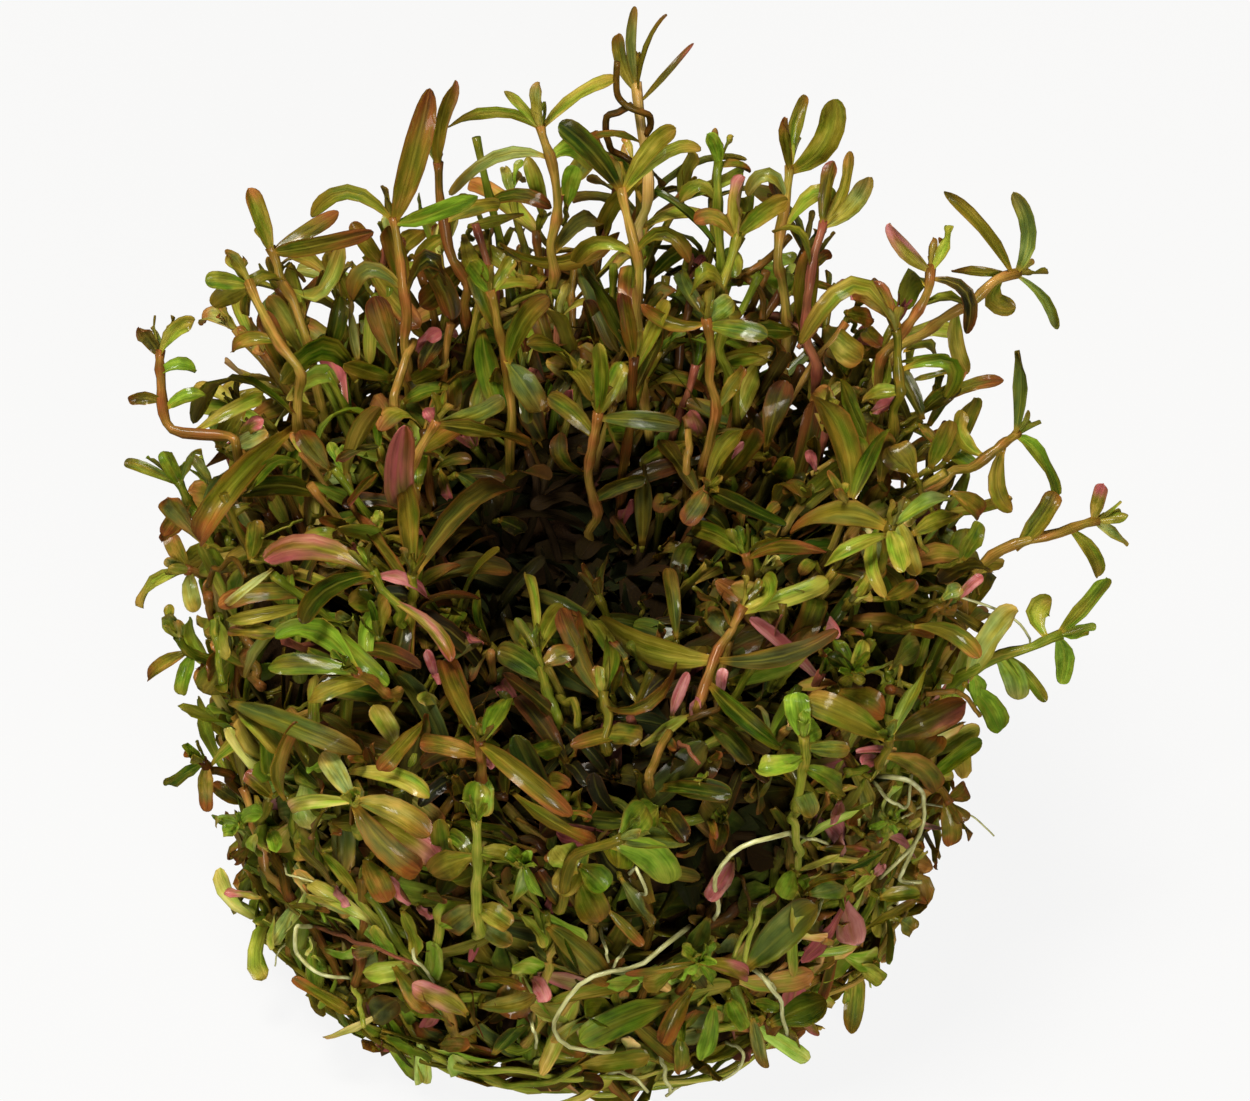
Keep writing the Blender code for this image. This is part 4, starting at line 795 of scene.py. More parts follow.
class Foliage:
    """Leaves and stems that wait to be meshed as one piece."""

    def __init__(self, name, slot, detail=MEDIUM, shading=1.0):
        self.name = name
        self.slot = slot
        self.detail = detail
        self.shading = shading
        self.leaves = []
        self.stems = []

    def leaf(self, base, via, tip, facing, width, tint, dice, form=0.2, shade=0.0):
        """One leaf: a curve from base to tip that leans through via, its upper face turned to facing."""
        fold = math.radians(dice.uniform(-12, 42))
        twist = math.radians(dice.gauss(0, 38))
        wave = dice.uniform(0.0, 0.38)
        curl = dice.gauss(-0.03, 0.11)
        light = tint[0] + dice.gauss(0, 0.05)
        warm = tint[1] + dice.gauss(0, 0.09)
        fresh = tint[2] + dice.gauss(0, 0.08)
        # The painted shade at the leaf's foot, middle and tip.
        shades = [min(DEEPEST_SHADE, shade + shade_at(Vector(point)) * self.shading)
                  for point in (base, via, tip)]
        self.leaves.append((*base, *via, *tip, *facing, width, form, fold, twist, wave, dice.random(),
                            light, warm, fresh, tint[3], dice.random(), *shades, curl))

    def stem(self, path, radius, tip_radius, nodes, tint, dice):
        """One stem along a list of points, swollen at the shares of its length in nodes."""
        places = np.linspace(0, 1, STEM_RINGS)
        line = smooth_line(path, places)
        kinks = [[dice.gauss(0, radius * KINK_SIZE) for _ in range(KINKS)] for _ in range(3)]
        sway = [np.interp(places, np.linspace(0, 1, KINKS), kink) for kink in kinks]
        line = line + np.stack(sway, axis=1) * np.sin(math.pi * places)[:, None]
        sizes = radius + (tip_radius - radius) * places
        nearness = np.zeros(STEM_RINGS)
        for node in nodes:
            nearness = np.maximum(nearness, np.exp(-((places - node) * STEM_RINGS / NODE_RINGS) ** 2))
        sizes = sizes * (1 + NODE_SWELLING * nearness)
        # The painted shade at each ring of the stem.
        shades = [shade_at(Vector(point)) * self.shading for point in line]
        light = tint[0] + dice.gauss(0, 0.05)
        self.stems.append((line, sizes, nearness, (light, *tint[1:]), dice.random(), shades))


def smooth_line(path, places):
    """Points at these shares of a smooth curve through the path's points."""
    knots = np.array([tuple(p) for p in path], float)
    gaps = np.linalg.norm(np.diff(knots, axis=0), axis=1)
    at = np.concatenate(([0], np.cumsum(gaps))) / gaps.sum()
    slopes = np.gradient(knots, at, axis=0) if len(knots) > 2 else np.tile(knots[1] - knots[0], (2, 1))
    index = np.clip(np.searchsorted(at, places, side="right") - 1, 0, len(at) - 2)
    span = (at[index + 1] - at[index])[:, None]
    t = ((places - at[index]) / (at[index + 1] - at[index]))[:, None]
    return (knots[index] * (2 * t ** 3 - 3 * t ** 2 + 1) + slopes[index] * span * (t ** 3 - 2 * t ** 2 + t)
            + knots[index + 1] * (3 * t ** 2 - 2 * t ** 3) + slopes[index + 1] * span * (t ** 3 - t ** 2))


def half_widths(places, shape):
    """A leaf's half width at these places, as a share of its greatest."""
    foot, start, end, blunt = shape
    t = np.clip((places - start) / (end - start), 0, 1)
    rounding = np.clip((places - blunt) / (1 - blunt), 0, 1)
    return (foot + (1 - foot) * t * t * (3 - 2 * t)) * np.sqrt(1 - rounding ** 2)


def tube_faces(rings, sides):
    """The quads of a tube, ring by ring, without its ends."""
    quads = []
    for i in range(rings - 1):
        for k in range(sides):
            low, beside = i * sides + k, i * sides + (k + 1) % sides
            quads.append((low, beside, beside + sides, low + sides))
    return quads


def leaf_points(rows, detail):
    """The points of every leaf, and for each point its place on the leaf."""
    places, section = detail
    t = np.array(places)[None, :, None]
    base, via, tip, facing = (rows[:, None, part] for part in (BASE, VIA, TIP, FACING))
    width, form, fold, twist, wave, phase, curl = (
        rows[:, column, None, None] for column in (WIDTH, FORM, FOLD, TWIST, WAVE, PHASE, CURL))
    side = unit(np.cross(tip - base, facing))
    upwards = np.cross(side, tip - base) * curl
    sweep = side * np.linalg.norm(tip - base, axis=-1, keepdims=True) * (phase - 0.5) * SWING
    centre = base * (1 - t) ** 2 + via * 2 * t * (1 - t) + tip * t ** 2 + upwards * (t ** 3 - t)
    centre = centre + sweep * t * (1 - t)
    along = unit((via - base) * (1 - t) + (tip - via) * t + upwards * (3 * t ** 2 - 1) * 0.5
                 + sweep * (0.5 - t))
    side = unit(side - along * (side * along).sum(-1, keepdims=True))
    face = np.cross(side, along)
    turn = twist * t
    side, face = (side * np.cos(turn) + face * np.sin(turn), face * np.cos(turn) - side * np.sin(turn))
    oblong = half_widths(np.array(places), OBLONG)[None, :, None]
    spoon = half_widths(np.array(places), SPOON)[None, :, None]
    half = width * 0.5 * (oblong * (1 - form) + spoon * form)
    across = np.array([u for u, _ in section])[None, None, :]
    above = np.array([s for _, s in section])[None, None, :]
    ripple = np.sin(2 * math.pi * (t * RIPPLES + phase) + across * 1.3) * wave * np.abs(across) * np.sqrt(t)
    thick = HALF_THICKNESS * (1 - 0.45 * t) * above * (1 - 0.5 * np.abs(across))
    rib = np.where(across != 0, 0.0, np.where(above < 0, -RIB_BELOW, np.where(above > 0, -RIB_GROOVE, 0.0)))
    lift = np.abs(across) * half * np.tan(fold) * (1 - 0.4 * t) + ripple + thick + rib
    points = (centre[:, :, None, :] + side[:, :, None, :] * (half * across * np.cos(fold))[..., None]
              + face[:, :, None, :] * lift[..., None])
    count = len(rows)
    end = tip.reshape(count, 1, 3)
    points = np.concatenate([points.reshape(count, -1, 3), end], axis=1)
    spread = np.broadcast_to(across, (count, len(places), len(section)))
    length = np.broadcast_to(t, spread.shape)
    top = np.broadcast_to((above >= 0).astype(float), spread.shape)
    place = np.stack([length, spread, top], axis=-1).reshape(count, -1, 3)
    place = np.concatenate([place, np.tile([[[1.0, 0.0, 1.0]]], (count, 1, 1))], axis=1)
    return points, place


def leaf_faces(detail):
    """The faces of one leaf and, for each of their corners, its place in the leaf's cell of the map."""
    places, section = detail
    rings, sides = len(places), len(section)
    faces = tube_faces(rings, sides)
    last = rings * sides
    faces += [(last - sides + k, last - sides + (k + 1) % sides, last) for k in range(sides)]
    faces.append(tuple(reversed(range(sides))))
    lower = [k for k in range(sides) if section[k][1] < 0]
    cells = []
    for face in faces:
        ring_corners = [i for i in face if i < last]
        below = any(i % sides in lower for i in ring_corners)
        for i in face:
            across = 0.0 if i == last else section[i % sides][0]
            length = 1.0 if i == last else places[i // sides]
            u = 0.25 + 0.24 * across + (0.5 if below else 0.0)
            if len(face) > 4:
                u, length = 0.5, 0.0
            cells.append((u, length))
    return faces, np.array(cells)


def stem_points(stems):
    """The points of every stem's tube, and for each its place: along, round and its nearness to a node."""
    lines = np.stack([stem[0] for stem in stems])
    sizes = np.stack([stem[1] for stem in stems])
    nearness = np.stack([stem[2] for stem in stems])
    along = unit(np.gradient(lines, axis=1))
    side = np.cross(along[:, 0], [0.31, 0.87, 0.38])
    rings = []
    for i in range(lines.shape[1]):
        side = unit(side - along[:, i] * (side * along[:, i]).sum(-1, keepdims=True))
        other = np.cross(along[:, i], side)
        angles = (2 * math.pi * np.arange(STEM_SIDES) / STEM_SIDES)[None, :, None]
        round_it = side[:, None] * np.cos(angles) + other[:, None] * np.sin(angles)
        rings.append(lines[:, i][:, None] + round_it * sizes[:, i][:, None, None])
    points = np.stack(rings, axis=1)
    count = len(stems)
    place = np.zeros(points.shape)
    place[..., 0] = np.linspace(0, 1, lines.shape[1])[None, :, None]
    place[..., 1] = (np.arange(STEM_SIDES) / STEM_SIDES)[None, None, :]
    place[..., 2] = nearness[:, :, None]
    return points.reshape(count, -1, 3), place.reshape(count, -1, 3)


def stem_faces():
    """The faces of one stem and, for each of their corners, its place in the stem's cell of the map."""
    rings, sides = STEM_RINGS, STEM_SIDES
    faces = tube_faces(rings, sides)
    cells = []
    for face in faces:
        wraps = face[1] % sides == 0
        for i in face:
            k = i % sides
            around = 1.0 if wraps and k == 0 else k / sides
            cells.append((around, (i // sides) / (rings - 1)))
    last = (rings - 1) * sides
    for end in (tuple(reversed(range(sides))), tuple(range(last, last + sides))):
        faces.append(end)
        cells += [(0.5, 0.0 if end[0] < last else 1.0)] * sides
    return faces, np.array(cells)


class Block:
    """One form, a leaf's or a stem's, repeated for every row of points, with what its finish reads there."""

    def __init__(self, points, place, tints, marks_and_shade, form, first_cell, grid, material):
        count, per = points.shape[:2]
        faces, cells = form
        corners = np.array([i for face in faces for i in face])
        index = first_cell + np.arange(count)
        origin = np.stack([index % grid, index // grid], axis=1) / grid
        maps = origin[:, None, :] + (cells * CELL_ROOM + (1 - CELL_ROOM) / 2)[None] / grid
        self.points = points.reshape(-1, 3)
        self.corners = (corners[None, :] + (np.arange(count) * per)[:, None]).ravel()
        self.sizes = np.tile([len(face) for face in faces], count)
        self.maps = maps.reshape(-1, 2)
        self.materials = np.full(len(self.sizes), material)
        self.attributes = {
            "leaf_place": place.reshape(-1, 3),
            "leaf_tint": np.repeat(tints, per, axis=0),
            "leaf_mark": marks_and_shade.reshape(-1, 3),
        }
        self.margin = (np.abs(place[..., 1]) == 1).ravel() & (material == 0)


def leaf_block(foliage, grid):
    """The piece's leaves."""
    rows = np.array(foliage.leaves)
    points, place = leaf_points(rows, foliage.detail)
    points[..., 2] = np.maximum(points[..., 2], LOWEST)
    along = place[..., 0]
    foot, middle, end = (rows[:, column, None] for column in SHADES)
    shade = foot * (1 - along) ** 2 + middle * 2 * along * (1 - along) + end * along ** 2
    rosy, seed = (np.broadcast_to(rows[:, column, None], along.shape) for column in (ROSY, SEED))
    marks_and_shade = np.stack([rosy, seed, shade], axis=-1)
    return Block(points, place, rows[:, TINT], marks_and_shade, leaf_faces(foliage.detail), 0, grid, 0)


def stem_block(foliage, grid):
    """The piece's stems."""
    points, place = stem_points(foliage.stems)
    tints = np.array([tint[:3] for *_, tint, _, _ in foliage.stems])
    marks_and_shade = np.array([[(tint[3], seed, shade) for shade in shades for _ in range(STEM_SIDES)]
                      for *_, tint, seed, shades in foliage.stems])
    return Block(points, place, tints, marks_and_shade, stem_faces(), len(foliage.leaves), grid, 1)


def joined(arrays, kind=np.float32):
    """Arrays one after the other, as the plain row of numbers that a mesh takes."""
    return np.concatenate(arrays).astype(kind).ravel()


def sharpen(mesh, margin):
    """The edges along a leaf's margin made sharp, so that its two faces are shaded apart."""
    ends = np.empty(len(mesh.edges) * 2, np.int32)
    mesh.edges.foreach_get("vertices", ends)
    sharp = mesh.attributes.new("sharp_edge", "BOOLEAN", "EDGE")
    sharp.data.foreach_set("value", margin[ends].reshape(-1, 2).all(axis=1))


def put(name, data):
    """A new object of the scene with this data."""
    thing = bpy.data.objects.new(name, data)
    bpy.context.scene.collection.objects.link(thing)
    return thing


def mesh_piece(foliage, materials):
    """The piece's mesh object: its leaves, then its stems, each with its own cell of the map."""
    grid = math.ceil(math.sqrt(len(foliage.leaves) + len(foliage.stems)))
    blocks = []
    if foliage.leaves:
        blocks.append(leaf_block(foliage, grid))
    if foliage.stems:
        blocks.append(stem_block(foliage, grid))
    counts = [len(block.points) for block in blocks]
    starts = np.cumsum([0] + counts)
    corners = joined([block.corners + start for block, start in zip(blocks, starts)], np.int32)
    sizes = joined([block.sizes for block in blocks], np.int32)
    mesh = bpy.data.meshes.new(foliage.name)
    mesh.vertices.add(sum(counts))
    mesh.vertices.foreach_set("co", joined([block.points * MM for block in blocks]))
    mesh.loops.add(len(corners))
    mesh.loops.foreach_set("vertex_index", corners)
    mesh.polygons.add(len(sizes))
    mesh.polygons.foreach_set("loop_start", np.concatenate(([0], np.cumsum(sizes)[:-1])).astype(np.int32))
    mesh.update(calc_edges=True)
    mesh.polygons.foreach_set("material_index", joined([block.materials for block in blocks], np.int32))
    mesh.polygons.foreach_set("use_smooth", np.ones(len(sizes), bool))
    mesh.uv_layers.new(name="OFBake").data.foreach_set("uv", joined([block.maps for block in blocks]))
    for label in ("leaf_place", "leaf_tint", "leaf_mark"):
        attribute = mesh.attributes.new(label, "FLOAT_VECTOR", "POINT")
        attribute.data.foreach_set("vector", joined([block.attributes[label] for block in blocks]))
    sharpen(mesh, np.concatenate([block.margin for block in blocks]))
    for material in materials:
        mesh.materials.append(material)
    return put(foliage.name, mesh)


def finish_piece(piece, slot, *nodes):
    """The piece rides with the clump and hides the solids that it stands for; the slot is not used."""
    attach(piece, "root")
    if nodes:
        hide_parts(*nodes)


class Wire:
    """A shader socket that sums can be written with."""

    def __init__(self, finish, socket):
        self.finish = finish
        self.socket = socket

    def _math(self, operation, first, second):
        return self.finish.add("ShaderNodeMath", {"operation": operation}, {0: first, 1: second})

    def __add__(self, other):
        return self._math("ADD", self, other)

    def __sub__(self, other):
        return self._math("SUBTRACT", self, other)

    def __rsub__(self, other):
        return self._math("SUBTRACT", other, self)

    def __mul__(self, other):
        return self._math("MULTIPLY", self, other)

    def __pow__(self, other):
        return self._math("POWER", self, other)

    __radd__ = __add__
    __rmul__ = __mul__


class Finish:
    """A material, and the nodes that are added to it."""

    def __init__(self, name):
        self.material = bpy.data.materials.new(name)
        self.material.use_nodes = True
        self.tree = self.material.node_tree
        self.shader = self.tree.nodes["Principled BSDF"]

    def add(self, kind, settings=None, sockets=None, out=0):
        """A node with these settings, whose sockets take values or wires, and the wire out of it."""
        node = self.tree.nodes.new(kind)
        for name, value in (settings or {}).items():
            if name == "stops":
                self.ramp(node, value)
            else:
                setattr(node, name, value)
        self.connect(node, sockets or {})
        return Wire(self, node.outputs[out])

    def connect(self, node, sockets):
        """The node's sockets set to values or joined to wires."""
        for name, value in sockets.items():
            if isinstance(value, Wire):
                self.tree.links.new(value.socket, node.inputs[name])
            else:
                node.inputs[name].default_value = value

    def ramp(self, node, stops):
        """The node's colour band set to these places and colours."""
        elements = node.color_ramp.elements
        while len(elements) < len(stops):
            elements.new(0.5)
        for element, (place, colour) in zip(elements, stops):
            element.position = place
            element.color = (*colour, 1)

    def colours(self, factor, stops):
        """The colour at the factor's place between the stops."""
        return self.add("ShaderNodeValToRGB", {"stops": stops}, {"Fac": factor})

    def blend(self, factor, first, second, kind="MIX"):
        """The first colour turned into the second by the factor."""
        settings = {"data_type": "RGBA", "blend_type": kind, "clamp_factor": True}
        return self.add("ShaderNodeMix", settings, {0: factor, 6: first, 7: second}, out=2)

    def between(self, value, low, high):
        """0 where the value is at low and 1 where it is at high, smoothly."""
        settings = {"interpolation_type": "SMOOTHSTEP"}
        return self.add("ShaderNodeMapRange", settings, {"Value": value, "From Min": low, "From Max": high})

    def size(self, value):
        """The value without its sign."""
        return self.add("ShaderNodeMath", {"operation": "ABSOLUTE"}, {0: value})

    def three(self, label):
        """The three numbers of a point's attribute."""
        vector = self.add("ShaderNodeAttribute", {"attribute_name": label}, out=1)
        return [self.add("ShaderNodeSeparateXYZ", None, {0: vector}, out=i) for i in range(3)]

    def vector(self, x, y, z):
        """Three numbers as one vector."""
        return self.add("ShaderNodeCombineXYZ", None, {0: x, 1: y, 2: z})

    def grain(self, vector, scale, detail=2.0, roughness=0.5):
        """Soft noise at the vector's place."""
        return self.add("ShaderNodeTexNoise", None,
                        {"Vector": vector, "Scale": scale, "Detail": detail, "Roughness": roughness})

    def bump(self, height, strength, distance):
        """A surface raised by the height."""
        return self.add("ShaderNodeBump", None,
                        {"Height": height, "Strength": strength, "Distance": distance})

    def surface(self, **sockets):
        """The finished material, with these sockets of its shader set or wired."""
        self.connect(self.shader, {name.replace("_", " "): value for name, value in sockets.items()})
        return self.material


# The plant's tones, each from its darkest to its lightest.
# The lightest stops are greyed: partly the leaves' own pale colour, partly a painted sheen.
OLIVE_TONES = ((0.0, (0.006, 0.004, 0.0005)), (0.25, (0.040, 0.032, 0.0015)), (0.5, (0.125, 0.108, 0.007)),
               (0.75, (0.28, 0.262, 0.035)), (1.0, (0.50, 0.50, 0.14)))
FRESH_TONES = ((0.0, (0.003, 0.006, 0.0004)), (0.25, (0.016, 0.037, 0.001)), (0.5, (0.068, 0.125, 0.005)),
               (0.75, (0.175, 0.30, 0.02)), (1.0, (0.38, 0.54, 0.10)))
WARM_TONES = ((0.0, (0.014, 0.0035, 0.001)), (0.25, (0.060, 0.016, 0.003)), (0.5, (0.165, 0.052, 0.009)),
              (0.75, (0.36, 0.155, 0.036)), (1.0, (0.64, 0.40, 0.16)))
PAINTED_SHEEN_TONES = ((0.0, (0.008, 0.008, 0.003)), (0.5, (0.105, 0.118, 0.042)), (1.0, (0.45, 0.50, 0.30)))
PINK_TONES = ((0.0, (0.05, 0.006, 0.008)), (0.5, (0.33, 0.078, 0.080)), (1.0, (0.66, 0.34, 0.33)))
ROOT_TONES = ((0.25, (0.17, 0.15, 0.04)), (0.5, (0.36, 0.36, 0.15)), (0.8, (0.55, 0.56, 0.34)))
INNER_SHADE_TONES = ((0.3, (0.004, 0.002, 0.001)), (0.55, (0.016, 0.008, 0.001)), (0.8, (0.045, 0.028, 0.004)))

# Single colours: a leaf's midrib, rim, foot and back, the painted-shade darks that leaves and stems fade to,
# and the red in the painted shade inside the tangle.
MIDRIB = (0.36, 0.33, 0.04, 1)
LEAF_RIM = (0.085, 0.026, 0.004, 1)
LEAF_FOOT = (0.36, 0.19, 0.02, 1)
LEAF_BACK = (0.20, 0.14, 0.03, 1)
RED_DARK = (0.007, 0.0031, 0.0002, 1)
GREEN_DARK = (0.0030, 0.0046, 0.0002, 1)
STEM_DARK = (0.007, 0.0032, 0.0003, 1)
INNER_SHADE_RED = (0.02, 0.006, 0.001, 1)

# How light passes through leaves and stems.
FLESH = {"Subsurface_Weight": 0.12, "Subsurface_Scale": 0.0004, "Subsurface_Radius": (1.0, 0.8, 0.2)}


def leaf_finish():
    """Wet leaf: streaked along its veins, redder at the tip and the edges, with a pale midrib."""
    f = Finish("leaf")
    along, across, top = f.three("leaf_place")
    light, warm, fresh = f.three("leaf_tint")
    rosy, seed, shade = f.three("leaf_mark")
    veins = f.grain(f.vector(across * 3.4 + seed * 7, along * 0.7, seed * 60), 1.6, 4.0, 0.65)
    blotch = f.grain(f.vector(across * 0.7 + seed * 31, along * 1.9, seed * 17), 1.3, 2.0, 0.55)
    patch = f.grain(f.vector(across * 0.9 + seed * 47, along * 1.4, seed * 29), 1.2, 1.0)
    tone = light + (blotch - 0.5) * 0.75 + (veins - 0.5) * 0.5 - along * 0.06
    colour = f.blend(fresh + (patch - 0.5) * 3.0, f.colours(tone, OLIVE_TONES), f.colours(tone, FRESH_TONES))
    # A painted sheen: some leaves greyed in patches.
    painted_sheen = f.between(seed, 0.72, 0.9) * f.between(patch, 0.3, 0.6) * 0.45
    colour = f.blend(painted_sheen, colour, f.colours(tone, PAINTED_SHEEN_TONES))
    edge = f.size(across) ** 4
    tip = f.between(along, 0.6, 1.05)
    turned = warm * (0.2 + tip * 1.3 + edge * 0.7) + (blotch - 0.5) * (warm * 3.0 + 0.4)
    turned = turned + (veins - 0.5) * 0.3 + tip * f.between(seed, 0.4, 0.9) * 0.4
    colour = f.blend(turned, colour, f.colours(tone - tip * 0.05, WARM_TONES))
    blush = rosy * 0.9 + along * 0.35 + (patch - 0.5) * 1.2
    flushed = f.between(blush, 0.45, 0.95) * f.between(rosy, 0.0, 0.4)
    colour = f.blend(flushed, colour, f.colours(tone, PINK_TONES))
    rib = (1 - f.between(f.size(across), 0.02, 0.17)) * (1 - along * 0.8)
    colour = f.blend(rib * 0.22, colour, MIDRIB)
    rim = f.between(f.size(across), 0.82, 1.0) * (0.35 + warm * 0.4)
    colour = f.blend(rim, colour, LEAF_RIM)
    foot = 1 - f.between(along, 0.02, 0.14)
    colour = f.blend(foot * 0.6, colour, LEAF_FOOT)
    colour = f.blend((1 - top) * 0.25, colour, LEAF_BACK)
    # Painted shade: the leaf fades to a dark red or dark green where the tangle would shade it.
    colour = f.blend(shade, colour, f.blend(f.between(seed, 0.3, 0.8), RED_DARK, GREEN_DARK))
    height = veins * 0.8 + blotch * 0.9 + rib * -0.5
    wet = f.between(f.grain(f.vector(across * 1.1 + seed * 11, along * 4.0, seed * 5), 1.5, 1.0), 0.5, 0.72)
    return f.surface(Base_Color=colour, Roughness=0.32 + veins * 0.2 + shade * 0.4,
                     Coat_Weight=(0.10 + wet * 0.22) * (1 - shade), Coat_Roughness=0.11,
                     Specular_IOR_Level=0.07, Normal=f.bump(height, 0.45, 0.0003), **FLESH)


def stem_finish():
    """Stem: streaked along, redder and darker at its nodes."""
    f = Finish("stem")
    along, around, node = f.three("leaf_place")
    light, warm, fresh = f.three("leaf_tint")
    rosy, seed, shade = f.three("leaf_mark")
    turn = around * (2 * math.pi)
    cosine = f.add("ShaderNodeMath", {"operation": "COSINE"}, {0: turn})
    sine = f.add("ShaderNodeMath", {"operation": "SINE"}, {0: turn})
    streaks = f.grain(f.vector(cosine * 2.4, sine * 2.4, along * 2.0 + seed * 40), 1.4, 3.0, 0.6)
    blotch = f.grain(f.vector(cosine * 0.5, sine * 0.5, along * 7 + seed * 23), 1.2)
    tone = light + (streaks - 0.5) * 0.5 + (blotch - 0.5) * 0.5 - node * 0.09
    colour = f.blend(fresh, f.colours(tone, OLIVE_TONES), f.colours(tone, FRESH_TONES))
    turned = warm * (0.7 + node * 0.6) + (blotch - 0.5) * 1.5 + (streaks - 0.5) * 0.8
    colour = f.blend(turned, colour, f.colours(tone, WARM_TONES))
    colour = f.blend(rosy, colour, f.colours(tone, PINK_TONES))
    # Painted shade: the stem fades to dark brown where the tangle would shade it.
    colour = f.blend(shade, colour, STEM_DARK)
    return f.surface(Base_Color=colour, Roughness=0.34 + streaks * 0.15 + shade * 0.4,
                     Coat_Weight=0.15 - shade * 0.15, Coat_Roughness=0.08,
                     Specular_IOR_Level=0.08, Normal=f.bump(streaks + blotch, 0.55, 0.0003), **FLESH)


def root_finish():
    """Root: a pale greenish white thread."""
    f = Finish("root")
    along, around, _ = f.three("leaf_place")
    blotch = f.grain(f.vector(along * 9, around * 2, along * 3), 1.5, 3.0)
    return f.surface(Base_Color=f.colours(blotch, ROOT_TONES), Roughness=0.35 + blotch * 0.2, Coat_Weight=0.2,
                     Normal=f.bump(blotch, 0.3, 0.0001))


def inner_shade_finish():
    """The tangle's inside between its leaves, painted near black as deep shade, with dark red patches."""
    f = Finish("tangle_inside_shade")
    place = f.add("ShaderNodeTexCoord", out=3)
    lumps = f.grain(place, 420.0, 5.0, 0.6)
    patch = f.grain(place, 90.0)
    colour = f.blend(patch * 0.5, f.colours(lumps, INNER_SHADE_TONES), INNER_SHADE_RED)
    return f.surface(Base_Color=colour, Roughness=0.7 + patch * 0.2, Specular_IOR_Level=0.1,
                     Normal=f.bump(lumps, 0.8, 0.0012))


LEAF = leaf_finish()
STEM = stem_finish()
ROOT = root_finish()
INNER_SHADE = inner_shade_finish()

# How the foliage looks round the clump, by what it is near: lightness, warmth, freshness, pinkness chance.
# Lightness is partly painted shade and light: darkest by the hollow and front rim, lightest low in front.
MOODS = [
    (Vector((0, 30, 58)), 0.62, 0.46, 0.25, 0.01),
    (Vector((-22, 18, 52)), 0.54, 0.48, 0.28, 0.01),
    (Vector((24, 18, 52)), 0.45, 0.46, 0.35, 0.02),
    (Vector((-30, -2, 42)), 0.56, 0.42, 0.38, 0.01),
    (Vector((32, -2, 42)), 0.48, 0.36, 0.46, 0.01),
    (Vector((0, 4, 40)), 0.22, 0.46, 0.32, 0.02),
    (Vector((0, -22, 40)), 0.12, 0.36, 0.46, 0.03),
    (Vector((-24, -22, 24)), 0.77, 0.20, 0.66, 0.02),
    (Vector((24, -22, 24)), 0.76, 0.58, 0.34, 0.08),
    (Vector((0, -33, 14)), 0.58, 0.22, 0.72, 0.04),
    (Vector((0, 33, 20)), 0.48, 0.26, 0.50, 0.03),
    (Vector((0, 0, 0)), 0.40, 0.40, 0.30, 0.01),
]


def tint_near(point, dice):
    """A tint for a leaf at this point, drawn from the moods around it, painted light and shade included."""
    total = [0.0, 0.0, 0.0, 0.0]
    weights = 0.0
    for centre, *mood in MOODS:
        weight = 1 / ((point - centre).length + 4.0) ** 3
        weights += weight
        for i, value in enumerate(mood):
            total[i] += value * weight
    light, warm, fresh, pink = (value / weights for value in total)
    light += dice.gauss(0, 0.15)
    kind = dice.random()
    if kind < warm * 0.7:
        warm, fresh = dice.uniform(0.6, 1.1), dice.uniform(0.0, 0.2)
    elif kind < warm * 0.7 + fresh * 0.85:
        warm, fresh = dice.uniform(0.0, 0.12), dice.uniform(0.6, 1.0)
    else:
        warm, fresh = dice.uniform(0.15, 0.4), dice.uniform(0.1, 0.4)
    rosy = dice.uniform(0.5, 1.0) if dice.random() < pink else 0.0
    return (light, warm, fresh, rosy)


def across_axis(direction):
    """Two unit vectors square to a direction and to each other."""
    side = direction.cross(UP if abs(direction.z) < 0.9 else Vector((1, 0, 0))).normalized()
    return side, side.cross(direction).normalized()


def rooted_path(points):
    """The stem along these points, cut off where it enters the tangle, and run on inside it."""
    for i in range(len(points) - 1, 0, -1):
        step = points[i - 1] - points[i]
        foot, _, _, _ = tangle.ray_cast(points[i], step.normalized(), step.length)
        if foot and (foot - points[i]).length > 0.2:
            lead = (points[i] - foot).normalized()
            return [foot - lead * SUNK, foot, *points[i:]]
    raise ValueError(f"a stem to {points[-1]} that never meets the tangle")


def bearing(azimuth):
    """The level direction at this azimuth."""
    return Vector((math.cos(azimuth), math.sin(azimuth), 0))


def swung(first, second, angle):
    """The direction that lies this angle from the first towards the second."""
    return first * math.cos(angle) + second * math.sin(angle)


def path_length(path):
    """How long a path is."""
    return sum((b - a).length for a, b in zip(path, path[1:]))


def point_at(path, wanted):
    """The point this far along a path, and the path's direction there."""
    for start, end in zip(path, path[1:]):
        length = (end - start).length
        if wanted <= length or end is path[-1]:
            return start.lerp(end, min(1.0, wanted / length)), (end - start).normalized()
        wanted -= length


def stem_point(path, share):
    """The point at a share of the stem's length outside the tangle, with its direction."""
    length = path_length(path[1:])
    return point_at(path[1:], min(share * length, length - TOP_NODE))


def photo_path(root, depth, stem):
    """A stem read from the photograph: its depth runs evenly from its root's to its tip's."""
    steps = len(stem)
    if root is None:
        last = max(steps - 1, 1)
        rises = [FRONT_RISE * (0.15 + 0.85 * i / last) for i in range(steps)]
        points = [sight_over(stem[0], -6.0)]
        points += [sight_over(pixel, rise) for pixel, rise in zip(stem, rises)]
        return rooted_path(points)
    points = [Vector(root)]
    for i, pixel in enumerate(stem):
        points.append(sight(pixel, root[1] + (depth - root[1]) * (i + 1) / steps))
    return rooted_path(points)


def towards_eye(axis):
    """The direction square to this axis that comes nearest to the eye."""
    return axis.cross((-AHEAD).cross(axis)).normalized()


def read_form(width, length, most, dice):
    """How spoon-shaped a leaf is that was read: a short broad one is round."""
    return 0.75 if width > 2.3 and length < 7 else dice.uniform(0.05, most)


